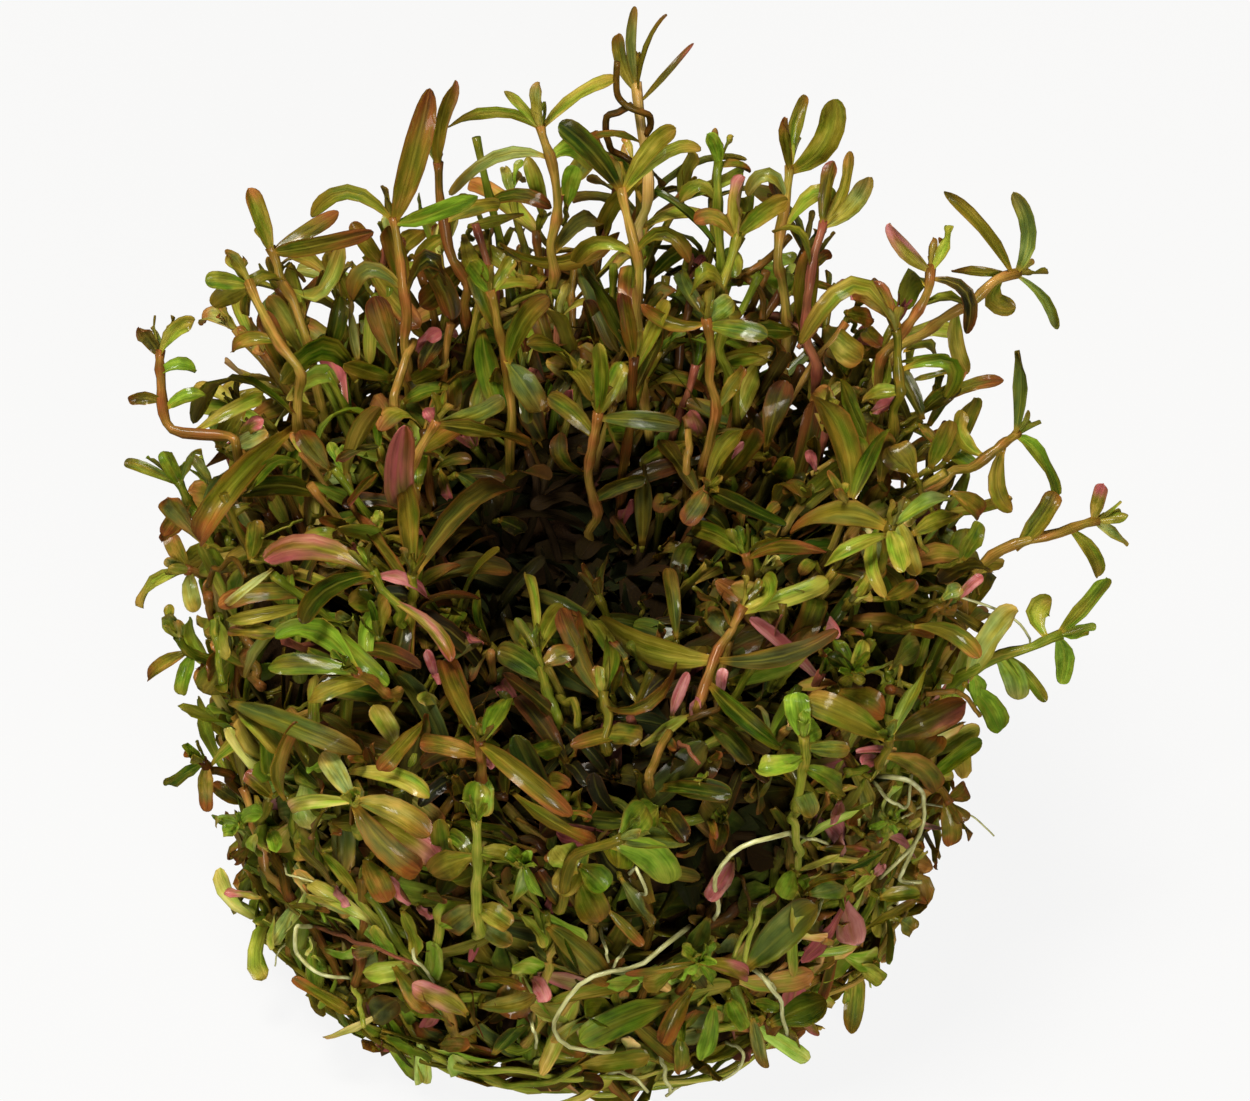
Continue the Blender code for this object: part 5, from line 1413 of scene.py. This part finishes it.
def photo_leaf(piece, root, path, row, tint, dice):
    """A leaf read from the photograph, on its stem."""
    left_out = (None, 0, None)
    at, tip_pixel, width, via_pixel, back, own_tint = row + left_out[len(row) - 3:]
    centre, direction = stem_point(path, at)
    if root is None:
        rise = FRONT_RISE * (0.3 + 0.55 * at) - back
        tip = sight_over(tip_pixel, rise, centre.y)
        through = via_pixel and sight_over(via_pixel, rise + 1.0, centre.y)
    else:
        tip = sight(tip_pixel, centre.y + back)
        through = via_pixel and sight(via_pixel, centre.y + back * 0.5)
    middle = (centre + tip) / 2
    arch = (direction + UP * 0.4) * (tip - centre).length * 0.13
    via = middle + (through - middle) * 1.6 if through else middle + arch
    axis = (tip - centre).normalized()
    facing = towards_eye(axis) + across_axis(axis)[0] * dice.uniform(-0.5, 0.5)
    form = read_form(width, (tip - centre).length, 0.45, dice)
    piece.leaf(centre, via, tip, facing, width, dimmed(TINTS[own_tint or tint], centre), dice, form=form)


def make_photo_shoots(more):
    """A piece for each shoot that was read from the photograph, in place of its solid."""
    pieces = []
    for i, (name, root, depth, stem_tint, tint, stem, leaves) in enumerate(SHOOTS):
        dice = random.Random(100 + i)
        piece = Foliage(name.replace("shoot_", "grown_"), "shoot", FINE, READ_SHADING)
        path = photo_path(root, depth, stem)
        for row in leaves:
            photo_leaf(piece, root, path, row, tint, dice)
        sunk = (path[1] - path[0]).length
        total = sunk + path_length(path[1:])
        nodes = [(sunk + row[0] * (total - sunk)) / total for row in leaves]
        nodes += list(np.arange(1 - 4.5 / total, 0.2, -5.2 / total))
        piece.stem(path, 0.48, 0.36, nodes, STEM_TINTS[stem_tint], dice)
        tuft(piece, path[-1], (path[-1] - path[-2]).normalized(), TINTS[tint], dice)
        coil_depth, coils = COILS.get(name, (0.0, []))
        for coil in coils:
            piece.stem([sight(pixel, coil_depth) for pixel in coil], 0.34, 0.3, [], STEM_TINTS["brown"], dice)
        pieces.append((piece, name))
        clothe_stem(more, path, [row[0] for row in leaves], (7.0, 13.0) if root else (4.0, 8.0), dice)
    return pieces


def clothe_stem(piece, path, taken, sizes, dice):
    """Smaller, limper leaves on the lower nodes of a stem, where none was read."""
    for share in np.arange(0.06, 0.86, 2.5 / path_length(path[1:])):
        if min(abs(share - at) for at in taken) < 0.05:
            continue
        centre, direction = stem_point(path, share)
        side, other = across_axis(direction)
        turn = dice.uniform(0, math.pi)
        for half_turn in (0, math.pi):
            if dice.random() < 0.08:
                continue
            out = swung(side, other, turn + half_turn)
            size = dice.uniform(*sizes)
            via = centre + (direction * dice.uniform(0.3, 1.0) + out * 0.7).normalized() * size * 0.5
            fall = out + direction * dice.uniform(-0.6, 0.7) - UP * dice.uniform(0, 0.9)
            tip = via + fall.normalized() * size * 0.5
            piece.leaf(centre, via, tip, direction + out * 0.2, dice.uniform(1.2, 2.3),
                       tint_near(centre, dice), dice, form=dice.uniform(0.0, 0.4))


def make_single_leaves(piece):
    """The leaves that were read one by one, which stand in the tangle and lie over it. Gives their feet."""
    dice = random.Random(61)
    feet = []
    for x, y, tip_x, tip_y, width, tint, *through in SINGLE_LEAVES:
        foot = footing((x, y), 1.2)
        tip = laid_over((tip_x, tip_y), dice.uniform(2.2, 4.2), foot, 6.0)
        lean = (tip - foot).length
        if through:
            seen = laid_over(through, dice.uniform(3.0, 4.5), foot, 4.0)
            via = (foot + tip) / 2 + (seen - (foot + tip) / 2) * 1.7
        else:
            via = (foot + tip) / 2 - AHEAD * lean * 0.12 + UP * lean * dice.uniform(-0.02, 0.14)
        face_leaf(piece, foot, over_floor(via), over_floor(tip), width, TINTS[tint], dice)
        feet.append(foot)
    return feet


def add_stalks(piece, feet):
    """A short stalk inwards from each of these feet, so that its leaf is held by the tangle."""
    dice = random.Random(62)
    for foot in feet:
        _, normal, _, _ = tangle.find_nearest(foot)
        held = foot - normal * STALK_DEPTH
        held.z = max(held.z, FLOOR_ROOM)
        piece.stem([foot, foot.lerp(held, 0.5), held], 0.26, 0.22, [], STEM_TINTS["olive"], dice)


def face_leaf(piece, foot, via, tip, width, tint, dice):
    """A leaf whose face is turned more or less to where the photograph was taken."""
    axis = (tip - foot).normalized()
    sideways = axis.cross(AHEAD).normalized() * dice.uniform(-0.7, 0.7)
    form = read_form(width, (tip - foot).length, 0.5, dice)
    piece.leaf(foot, via, tip, towards_eye(axis) + sideways, width, dimmed(tint, foot), dice, form=form)


def make_whorls(piece):
    """The ends of short side shoots."""
    dice = random.Random(67)
    for node, stem_tint, leaves in WHORLS:
        foot = footing((node[0] - 6, node[1] + 14), 2.0)
        top = laid_over(node, 3.0, foot, 2.0)
        for tip_pixel, width, tint in leaves:
            tip = laid_over(tip_pixel, dice.uniform(2.4, 4.0), top, 4.0)
            via = (top + tip) / 2 - AHEAD * (tip - top).length * 0.2
            face_leaf(piece, top, via, tip, width, TINTS[tint], dice)
        piece.stem([foot, foot.lerp(top, 0.6) + UP * 0.4, top], 0.5, 0.4, [0.97], STEM_TINTS[stem_tint], dice)
        tuft(piece, top, (top - foot).normalized(), TINTS[leaves[0][2]], dice)


def lay_threads(piece, threads, rise, ends_sunk):
    """Stems or roots that lie over the tangle along their pixels."""
    dice = random.Random(71)
    for pixels, radius, tint in threads:
        points = [footing(pixels[0], 3.0)]
        for pixel in pixels[1:]:
            points.append(laid_over(pixel, rise + dice.uniform(-0.4, 0.4), points[-1], 4.0))
        if ends_sunk:
            points[-1] = laid_over(pixels[-1], -2.5, points[-2], 4.0)
        points = [over_floor(point) for point in points]
        piece.stem(points, radius, radius * 0.75, [], STEM_TINTS[tint], dice)


def tuft(piece, top, direction, tint, dice):
    """The bud at a stem's tip: a few small young leaves that hug each other."""
    side, other = across_axis(direction)
    for k in range(3):
        around = 2 * math.pi * k / 3 + dice.uniform(-0.5, 0.5)
        out = swung(side, other, around)
        size = dice.uniform(1.8, 3.2)
        via = top + direction * size * 0.5 + out * size * 0.18
        tip = top + direction * size + out * size * dice.uniform(0.15, 0.55)
        piece.leaf(top - direction * 0.4, via, tip, direction - out * 0.3, dice.uniform(0.7, 1.1), tint, dice)


# The crown's and the wall's growth, beside the shoots that were read.
LEAF_LENGTH = 9.4
CROWN_LEAF_LENGTH = 11.2
LEAF_WIDTH = 2.2
INTERNODE = 6.0
CROWN_SHOOTS = 190
CROWN_REACH = 32.5
DARK_HOLLOW = Vector((-4, 5, 38))
DARK_HOLLOW_RADIUS = 13.0
OPEN_ABOVE = 41.0
CREEPING_SHOOTS = 230
CREEPING_INTERNODE = 3.9
WALL_RISE = 2.0

# The step that spreads heights evenly, as the golden angle does with directions.
EVEN_STEP = 0.754877

# The tangle's openings as points on it, each with its reach and the darkness of its painted shade.
SHADED = [(sight_over(pixel, 0.0), reach, depth) for pixel, reach, depth in OPENINGS]


def grow_shoot(piece, path, dice):
    """A stem with crossed pairs of leaves down from the young pair at its tip."""
    length = path_length(path)
    turn = dice.uniform(0, math.pi)
    pairs = max(2, round(length / INTERNODE))
    nodes = []
    for i in range(pairs):
        share = min(0.985, 1 - (i + dice.uniform(-0.15, 0.15)) / pairs * 0.9)
        nodes.append(share)
        centre, direction = point_at(path, share * length)
        side, other = across_axis(direction)
        for half_turn in (0, math.pi):
            if dice.random() < (0.1 if i < 2 else 0.3):
                continue
            around = turn + half_turn + i * math.pi / 2 + dice.uniform(-0.3, 0.3)
            out = swung(side, other, around)
            spread = math.radians(dice.uniform(25, 75) if i else dice.uniform(12, 45))
            bend = dice.gauss(0.7, 0.55)
            size = CROWN_LEAF_LENGTH * dice.uniform(0.5, 1.35) * (1.0 if i else 0.75)
            second = swung(direction, out, spread + bend) - UP * dice.uniform(0, 1.0)
            via = centre + swung(direction, out, spread) * size * 0.55
            tip = via + second.normalized() * size * 0.5
            tip, via = kept_out(tip, via)
            piece.leaf(centre, via, tip, direction + out * 0.2, LEAF_WIDTH * dice.uniform(0.5, 1.15),
                       tint_near(centre, dice), dice, form=dice.uniform(0.0, 0.5))
    stem_tint = STEM_TINTS[dice.choice(("tan", "orange", "olive", "olive", "brown", "red", "green"))]
    piece.stem(path, 0.45, 0.32, nodes, stem_tint, dice)
    tuft(piece, path[-1], (path[-1] - path[-2]).normalized(), tint_near(path[-1], dice), dice)


def shade_at(point):
    """How much painted shade darkens a leaf here: deep in the tangle, or in the hollow of the crown."""
    openness = min(1.0, max(0.0, (point.y - 5) / 18, (32 - point.z) / 14))
    depth = max(0.0, depth_below(point) - 1.0) * (0.13 - 0.09 * openness)
    darkest = max(how_dark * (1 - (point - middle).length / reach) for middle, reach, how_dark in SHADED)
    return min(DEEPEST_SHADE, depth + max(0.0, darkest))


def dimmed(tint, point):
    """The tint of a leaf that was read, with painted shade: darker towards the hollow."""
    near = max(0.0, 1 - (point - DARK_HOLLOW).length / 30.0)
    return (tint[0] - 0.26 * near, *tint[1:])


def kept_out(*points):
    """These points, kept above what the clump rests on."""
    return [Vector((*point.xy, max(point.z, FLOOR_ROOM))) for point in points]


def depth_below(point):
    """How far below the tangle's surface a point lies, or less than 0 outside it."""
    nearest, normal, _, distance = tangle.find_nearest(point)
    inside = (point - nearest).dot(normal) < 0
    return distance if inside else -distance


def sector(point):
    """The quarter of the clump that a point belongs to."""
    azimuth = math.degrees(math.atan2(point.y, point.x)) % 360
    return ("right", "back", "left", "front")[int((azimuth + 45) % 360 // 90)]


def make_crown(pieces):
    """The shoots of the crown, spread by the golden angle: upright inside, leaning outwards at the rim."""
    dice = random.Random(23)
    for i in range(CROWN_SHOOTS):
        share = math.sqrt((i + 0.5) / CROWN_SHOOTS)
        azimuth = i * GOLDEN
        away = bearing(azimuth)
        surface, _, _, _ = tangle.ray_cast(away * CROWN_REACH * share + UP * 100, -UP)
        wander = Vector((dice.gauss(0, 0.25), dice.gauss(0, 0.25), 0))
        direction = (UP + away * (0.05 + 0.55 * share ** 2) + wander).normalized()
        hollow = max(0.0, 1 - (surface - DARK_HOLLOW).length / DARK_HOLLOW_RADIUS)
        behind = max(0.0, math.sin(azimuth)) * share
        rise = dice.uniform(-7.0, 4.0) + dice.uniform(0.0, 7.0) * behind - hollow * 12
        top = surface + direction * rise
        length = dice.uniform(15, 19) if share < 0.55 else dice.uniform(18, 25)
        foot = top - direction * length - away * 2.0
        foot.z = max(foot.z, 6.0)
        sway = Vector((dice.uniform(-1, 1), dice.uniform(-1, 1), 0)) * 1.8
        grow_shoot(pieces["crown_" + sector(surface)], [foot, foot.lerp(top, 0.5) + sway, top], dice)


def make_wall(pieces):
    """Short shoots that creep up or along the wall, half sunk in it, with leaves that the cup pressed."""
    dice = random.Random(37)
    for i in range(CREEPING_SHOOTS):
        azimuth = i * GOLDEN
        share = (i * EVEN_STEP) % 1.0
        top = min(rim_height(azimuth) - 3.0, OPEN_ABOVE)
        away = bearing(azimuth)
        spot, normal, _, _ = tangle.ray_cast(away * 80 + UP * (1.5 + (top - 1.5) * share), -away)
        level, steep = across_axis(normal)
        lean = math.radians(dice.gauss(0, 50))
        step = swung(steep, level, lean) * dice.choice((1, 1, 1, -1))
        if step.z < 0 and spot.z < 12:
            step = -step
        path = []
        sunk = dice.uniform(0.6, 2.4)
        for k in range(4):
            spot, normal, _, _ = tangle.find_nearest(spot)
            if spot.z > top + 2.5:
                break
            path.append(spot - normal * (sunk + 0.8 - 0.25 * k))
            step = (step - normal * step.dot(normal) + level * dice.gauss(0, 0.18)).normalized()
            spot = spot + step * dice.uniform(3.5, 5.5)
        if len(path) < 2:
            continue
        creep(pieces["wall_" + sector(spot)], path, dice)


def creep(piece, path, dice):
    """A creeping stem with pairs of leaves to both sides, that lie on the wall or lift off it a little."""
    length = path_length(path)
    pairs = max(2, round(length / CREEPING_INTERNODE))
    nodes = []
    for i in range(pairs):
        share = min(0.98, 1 - i / pairs * 0.95)
        nodes.append(share)
        centre, direction = point_at(path, share * length)
        _, normal, _, _ = tangle.find_nearest(centre)
        across = direction.cross(normal).normalized()
        for side in (1, -1):
            lift = dice.uniform(-0.2, 1.0)
            spread = math.radians(dice.uniform(15, 90))
            out = swung(across * side, normal, lift).normalized()
            first = swung(direction, out, spread).normalized()
            bend = dice.gauss(0.1, 0.4)
            second = swung(direction, out, spread + bend)
            broad = dice.random() < 0.22
            size = LEAF_LENGTH * (dice.uniform(0.4, 0.65) if broad else dice.uniform(0.4, 1.2))
            width = LEAF_WIDTH * (dice.uniform(1.2, 1.6) if broad else dice.uniform(0.5, 1.15))
            via = held_down(centre + first * size * 0.52)
            tip = held_down(via + second * size * 0.5)
            tip, via = kept_out(tip, via)
            facing = normal + out * dice.uniform(-1.0, 1.0) - direction * dice.uniform(-0.4, 0.7)
            # Painted shade for a leaf whose tip sinks under the tangle's surface.
            under = max(0.0, depth_below(tip) + 0.2) * 0.18
            piece.leaf(centre, via, tip, facing, width, tint_near(tip, dice), dice,
                       form=0.9 if broad else dice.uniform(0.0, 0.6), shade=under)
    stem_tint = STEM_TINTS[dice.choice(("tan", "green", "olive", "pale", "brown", "orange", "green"))]
    piece.stem(path, 0.5, 0.36, nodes, stem_tint, dice)


def held_down(point):
    """The point, drawn in to where the cup's wall held it."""
    nearest, normal, _, distance = tangle.find_nearest(point)
    over = (point - nearest).dot(normal) - WALL_RISE
    return point - normal * over if over > 0 and point.z < CUP_HEIGHT else point


def press_leaf(piece, middle, normal, dice, sunk_low=-0.4, sunk_high=2.6):
    """A leaf lying nearly flat on the tangle's surface, a little sunk in it or lifted off it."""
    lean = math.radians(dice.gauss(0, 48))
    level, steep = across_axis(normal)
    along = swung(steep, level, lean) * dice.choice((1, 1, 1, -1))
    sunk = dice.uniform(sunk_low, sunk_high)
    length = LEAF_LENGTH * dice.uniform(0.7, 1.25)
    base = middle - along * length * 0.5 - normal * (sunk + dice.uniform(0.2, 1.6))
    via = middle - normal * (sunk - 1.0)
    tip = middle + along * length * 0.5 - normal * (sunk + dice.uniform(-1.3, 1.0))
    tip, via = kept_out(tip, via)
    # Painted shade, deeper the further the leaf is sunk.
    shade = max(0.0, sunk - 0.6) * 0.22
    facing = normal + along * dice.uniform(-0.2, 0.2) + level * dice.uniform(-0.5, 0.5)
    piece.leaf(base, via, tip, facing, LEAF_WIDTH * dice.uniform(0.7, 1.3), tint_near(middle, dice), dice,
               form=dice.uniform(0.0, 0.7), shade=shade)


UNDERSIDE_LEAVES = 330
BURIED_LEAVES = 1300
STRANDS = 38


def make_underside(piece):
    """Leaves pressed flat under the clump and round its lower edge."""
    dice = random.Random(41)
    for i in range(UNDERSIDE_LEAVES):
        reach = 31.0 * math.sqrt((i + 0.5) / UNDERSIDE_LEAVES)
        azimuth = i * GOLDEN
        below = Vector((reach * math.cos(azimuth), reach * math.sin(azimuth), -20))
        middle, normal, _, _ = tangle.ray_cast(below, UP)
        press_leaf(piece, middle, normal, dice, 0.2, 2.0)
        if min(depth_below(Vector(piece.leaves[-1][k:k + 3])) for k in (0, 6)) < -1.2:
            piece.leaves.pop()


def make_strands(piece):
    """Thin bare stems that the cup's lower edge bent round, one over the other."""
    dice = random.Random(47)
    for i in range(STRANDS):
        azimuth = i * GOLDEN
        height = dice.uniform(0.8, 8.0)
        path = []
        for k in range(6):
            away = bearing(azimuth)
            spot, normal, _, _ = tangle.ray_cast(away * 80 + UP * height, -away)
            path.append(spot + normal * dice.uniform(-0.3, 0.3) if 0 < k < 5 else spot - normal * 0.8)
            azimuth += math.radians(dice.uniform(7, 11))
            height = min(9.0, max(0.8, height + dice.gauss(0, 1.0)))
        tint = STEM_TINTS[dice.choice(("green", "olive", "pale", "green", "tan"))]
        piece.stem(path, dice.uniform(0.22, 0.4), 0.2, [], tint, dice)


def make_buried(piece):
    """Leaves just inside the tangle, in front of its inner mass, dark with painted shade."""
    dice = random.Random(43)
    for i in range(BURIED_LEAVES):
        height = (i * EVEN_STEP) % 1.0
        azimuth = i * GOLDEN
        away = bearing(azimuth)
        if i % 3:
            top = min(rim_height(azimuth) - 5.0, OPEN_ABOVE - 3.0)
            start = away * 80 + UP * (3.0 + (top - 3.0) * height)
            middle, normal, _, _ = tangle.ray_cast(start, -away)
        else:
            middle, normal, _, _ = tangle.ray_cast(away * 20.0 * math.sqrt(height) + UP * 100, -UP)
        middle = middle - normal * dice.uniform(2.6, 5.0)
        along = Vector((dice.gauss(0, 1), dice.gauss(0, 1), dice.gauss(0, 1)))
        along = (along - normal * along.dot(normal) * 0.6).normalized()
        length = LEAF_LENGTH * dice.uniform(0.7, 1.1)
        tint = tint_near(middle, dice)
        facing = normal + along.cross(normal) * dice.uniform(-0.8, 0.8)
        tip, via = kept_out(middle + along * length * 0.5, middle + normal * 0.8)
        # Each leaf gets painted shade of its own, on top of the tangle's.
        piece.leaf(middle - along * length * 0.5, via, tip, facing, LEAF_WIDTH * 1.15, tint, dice,
                   shade=dice.uniform(0.1, 0.45))


# How far the inner mass is drawn in, how far under the cup's rim it gets lower as well, and the share of the
# height over that point that it keeps.
INSET = 4.6
MASS_DROP = 6.0
MASS_SHARE = 0.45


def inner_profile(azimuth):
    """The tangle's profile drawn in, and lower where light passes between the stems of the crown."""
    lowered = CUP_HEIGHT - MASS_DROP
    inner = []
    for reach, height in tangle_profile(azimuth):
        inset = INSET if height > 8 else INSET * 0.6
        drawn = max(0.0, reach - inset) if height > 1 else reach * 0.86
        if height < lowered:
            raised = max(height, 1.6)
        else:
            raised = lowered + (height - CUP_HEIGHT + MASS_DROP) * MASS_SHARE
        inner.append((drawn, raised))
    return inner


def make_inner_mass():
    """The lumpy mass inside the tangle, dark with painted shade."""
    points, faces = turned_form(inner_profile, 96, LUMP_HEIGHT)
    mesh = bpy.data.meshes.new("inner_mass")
    mesh.from_pydata([p * MM for p in points], [], faces)
    mesh.materials.append(INNER_SHADE)
    mesh.update()
    piece = put("inner_mass", mesh)
    subdivide = piece.modifiers.new("subdivide", "SUBSURF")
    subdivide.levels = subdivide.render_levels = 1
    graph = bpy.context.evaluated_depsgraph_get()
    fine = bpy.data.meshes.new_from_object(piece.evaluated_get(graph))
    piece.modifiers.clear()
    piece.data = fine
    for vertex in fine.vertices:
        spot = vertex.co / MM
        if spot.z > 3:
            push = noise.noise(spot / 2.6) * 0.9 + noise.noise(spot / 1.1) * 0.4
            vertex.co += Vector((spot.x, spot.y, spot.z * 0.4)).normalized() * push * MM
    fine.update()
    return piece


# Stems that start thinner than this were read as threads, which nothing else may hide.
THREAD = 0.46


def leaf_spots(rows, places):
    """Points along the middle of each leaf."""
    base, via, tip = (rows[:, None, part] for part in (BASE, VIA, TIP))
    t = np.array(places)[None, :, None]
    return base * (1 - t) ** 2 + via * 2 * t * (1 - t) + tip * t ** 2


def read_spots(pieces):
    """Points along everything that was read from the photograph, with the half width there."""
    spots, halves = [], []
    for piece in pieces:
        if piece.leaves:
            rows = np.array(piece.leaves)
            spots.append(leaf_spots(rows, np.linspace(0.1, 0.97, 9)).reshape(-1, 3))
            halves.append(np.repeat(rows[:, WIDTH] * 0.5, 9))
        for line, sizes, *_ in piece.stems:
            if sizes[0] < THREAD:
                spots.append(line)
                halves.append(sizes)
    return np.concatenate(spots), np.concatenate(halves)


def in_picture(points):
    """Where points lie in the photograph, to the right and up from its middle, and how far ahead."""
    away = points - np.array(EYE)
    ahead = away @ np.array(AHEAD)
    return away[..., 0] / ahead * VIEW_DISTANCE, away @ np.array(PHOTO_UP) / ahead * VIEW_DISTANCE, ahead


def hiding(rows, spots, halves, margin):
    """Which leaves would hide one of the spots from where the photograph was taken."""
    right, high, ahead = in_picture(spots)
    half = halves + margin
    hides = np.zeros(len(rows), bool)
    along = leaf_spots(rows, (0.15, 0.4, 0.65, 0.9, 1.0))
    for column in range(along.shape[1]):
        r, h, a = in_picture(along[:, column])
        for start in range(0, len(rows), 500):
            part = slice(start, start + 500)
            near = (r[part, None] - right) ** 2 + (h[part, None] - high) ** 2 < half ** 2
            hides[part] |= (near & (a[part, None] < ahead - 0.2)).any(axis=1)
    return hides


def above_skyline(rows):
    """Which leaves would stand out of the clump's outline in the photograph."""
    right, high, ahead = in_picture(leaf_spots(rows, (0.5, 0.8, 1.0)))
    line = np.interp(PHOTO_CENTRE[0] + right * PIXELS_PER_MM, *zip(*SKYLINE))
    return (PHOTO_CENTRE[1] - high * PIXELS_PER_MM < line).any(axis=1)


def make_foliage():
    """The whole plant: what the tangle grew by rule, what was read, and the inner mass."""
    pieces = {}
    for side in ("front", "back", "left", "right"):
        pieces["crown_" + side] = Foliage("crown_" + side, "tangle", FINE)
        pieces["wall_" + side] = Foliage("wall_" + side, "tangle")
    pieces["underside"] = Foliage("underside", "tangle")
    pieces["buried_leaves"] = Foliage("buried_leaves", "tangle", COARSE)
    make_crown(pieces)
    make_wall(pieces)
    make_underside(pieces["underside"])
    make_strands(pieces["underside"])
    make_buried(pieces["buried_leaves"])
    pieces["stem_leaves"] = Foliage("stem_leaves", "tangle", FINE)
    shoots = make_photo_shoots(pieces["stem_leaves"])
    single = Foliage("single_leaves", "tangle", FINE, READ_SHADING)
    feet = make_single_leaves(single)
    make_whorls(single)
    lay_threads(single, TWIGS, 2.2, False)
    roots = Foliage("roots", "root")
    lay_threads(roots, [(pixels, radius, "pale") for pixels, radius in ROOTS], 3.2, True)
    spots, halves = read_spots([piece for piece, _ in shoots] + [single, roots])
    for piece in pieces.values():
        rows = np.array(piece.leaves)
        keep = ~(hiding(rows, spots, halves, 0.35) | above_skyline(rows))
        piece.leaves = [row for row, kept in zip(piece.leaves, keep) if kept]
    # The stalks come last: the leaves that hide what was read are gone by now, and none makes way for them.
    add_stalks(single, feet)
    for piece in (*pieces.values(), single):
        finish_piece(mesh_piece(piece, (LEAF, STEM)), piece.slot, "packed_tangle")
    for piece, node in shoots:
        finish_piece(mesh_piece(piece, (LEAF, STEM)), piece.slot, node)
    finish_piece(mesh_piece(roots, (ROOT, ROOT)), "root")
    finish_piece(make_inner_mass(), "tangle", "packed_tangle")


# The lamps by name, place, size and power, where they point and their colour. The light from all round, and
# how much the floor glows so that it looks as pale as in the photograph.
LAMPS = (("above", (-0.2, -0.14, 0.8), 0.25, 10.5), ("front", (0.16, -0.8, 0.36), 0.3, 7.0))
LAMP_TARGET = Vector((0, 0, 0.03))
LAMP_COLOUR = (1.0, 0.96, 0.86)
ROOM_COLOUR = (1.0, 0.84, 0.52, 1)
ROOM_LIGHT = 0.12
FLOOR_GLOW = 0.885


def make_stage():
    """A plain pale floor, soft light from above and in front, and the camera where the photograph's was."""
    f = Finish("floor")
    f.surface(Base_Color=(0.04, 0.04, 0.04, 1), Roughness=0.9, Specular_IOR_Level=0.0,
              Emission_Color=(1, 1, 1, 1), Emission_Strength=FLOOR_GLOW)
    bpy.ops.mesh.primitive_plane_add(size=6)
    floor = bpy.context.object
    floor.name = "floor"
    floor.data.materials.append(f.material)
    floor.visible_glossy = False
    for name, place, size, power in LAMPS:
        data = bpy.data.lights.new(name, "AREA")
        data.size = size
        data.energy = power
        data.color = LAMP_COLOUR
        light = put(name, data)
        light.location = place
        light.rotation_euler = (LAMP_TARGET - Vector(place)).to_track_quat("-Z", "Y").to_euler()
    world = bpy.data.worlds.new("studio")
    world.use_nodes = True
    background = world.node_tree.nodes["Background"]
    background.inputs["Color"].default_value = ROOM_COLOUR
    background.inputs["Strength"].default_value = ROOM_LIGHT
    bpy.context.scene.world = world
    data = bpy.data.cameras.new("camera")
    data.sensor_width = 36
    data.lens = PIXELS_PER_MM * VIEW_DISTANCE / PHOTO_WIDTH * data.sensor_width
    camera = put("camera", data)
    camera.location = EYE * MM
    camera.rotation_euler = (math.radians(90) - VIEW_ELEVATION, 0, 0)
    bpy.context.scene.camera = camera
    bpy.context.scene.view_settings.view_transform = "Standard"


make_foliage()
make_stage()

bpy.context.view_layer.update()
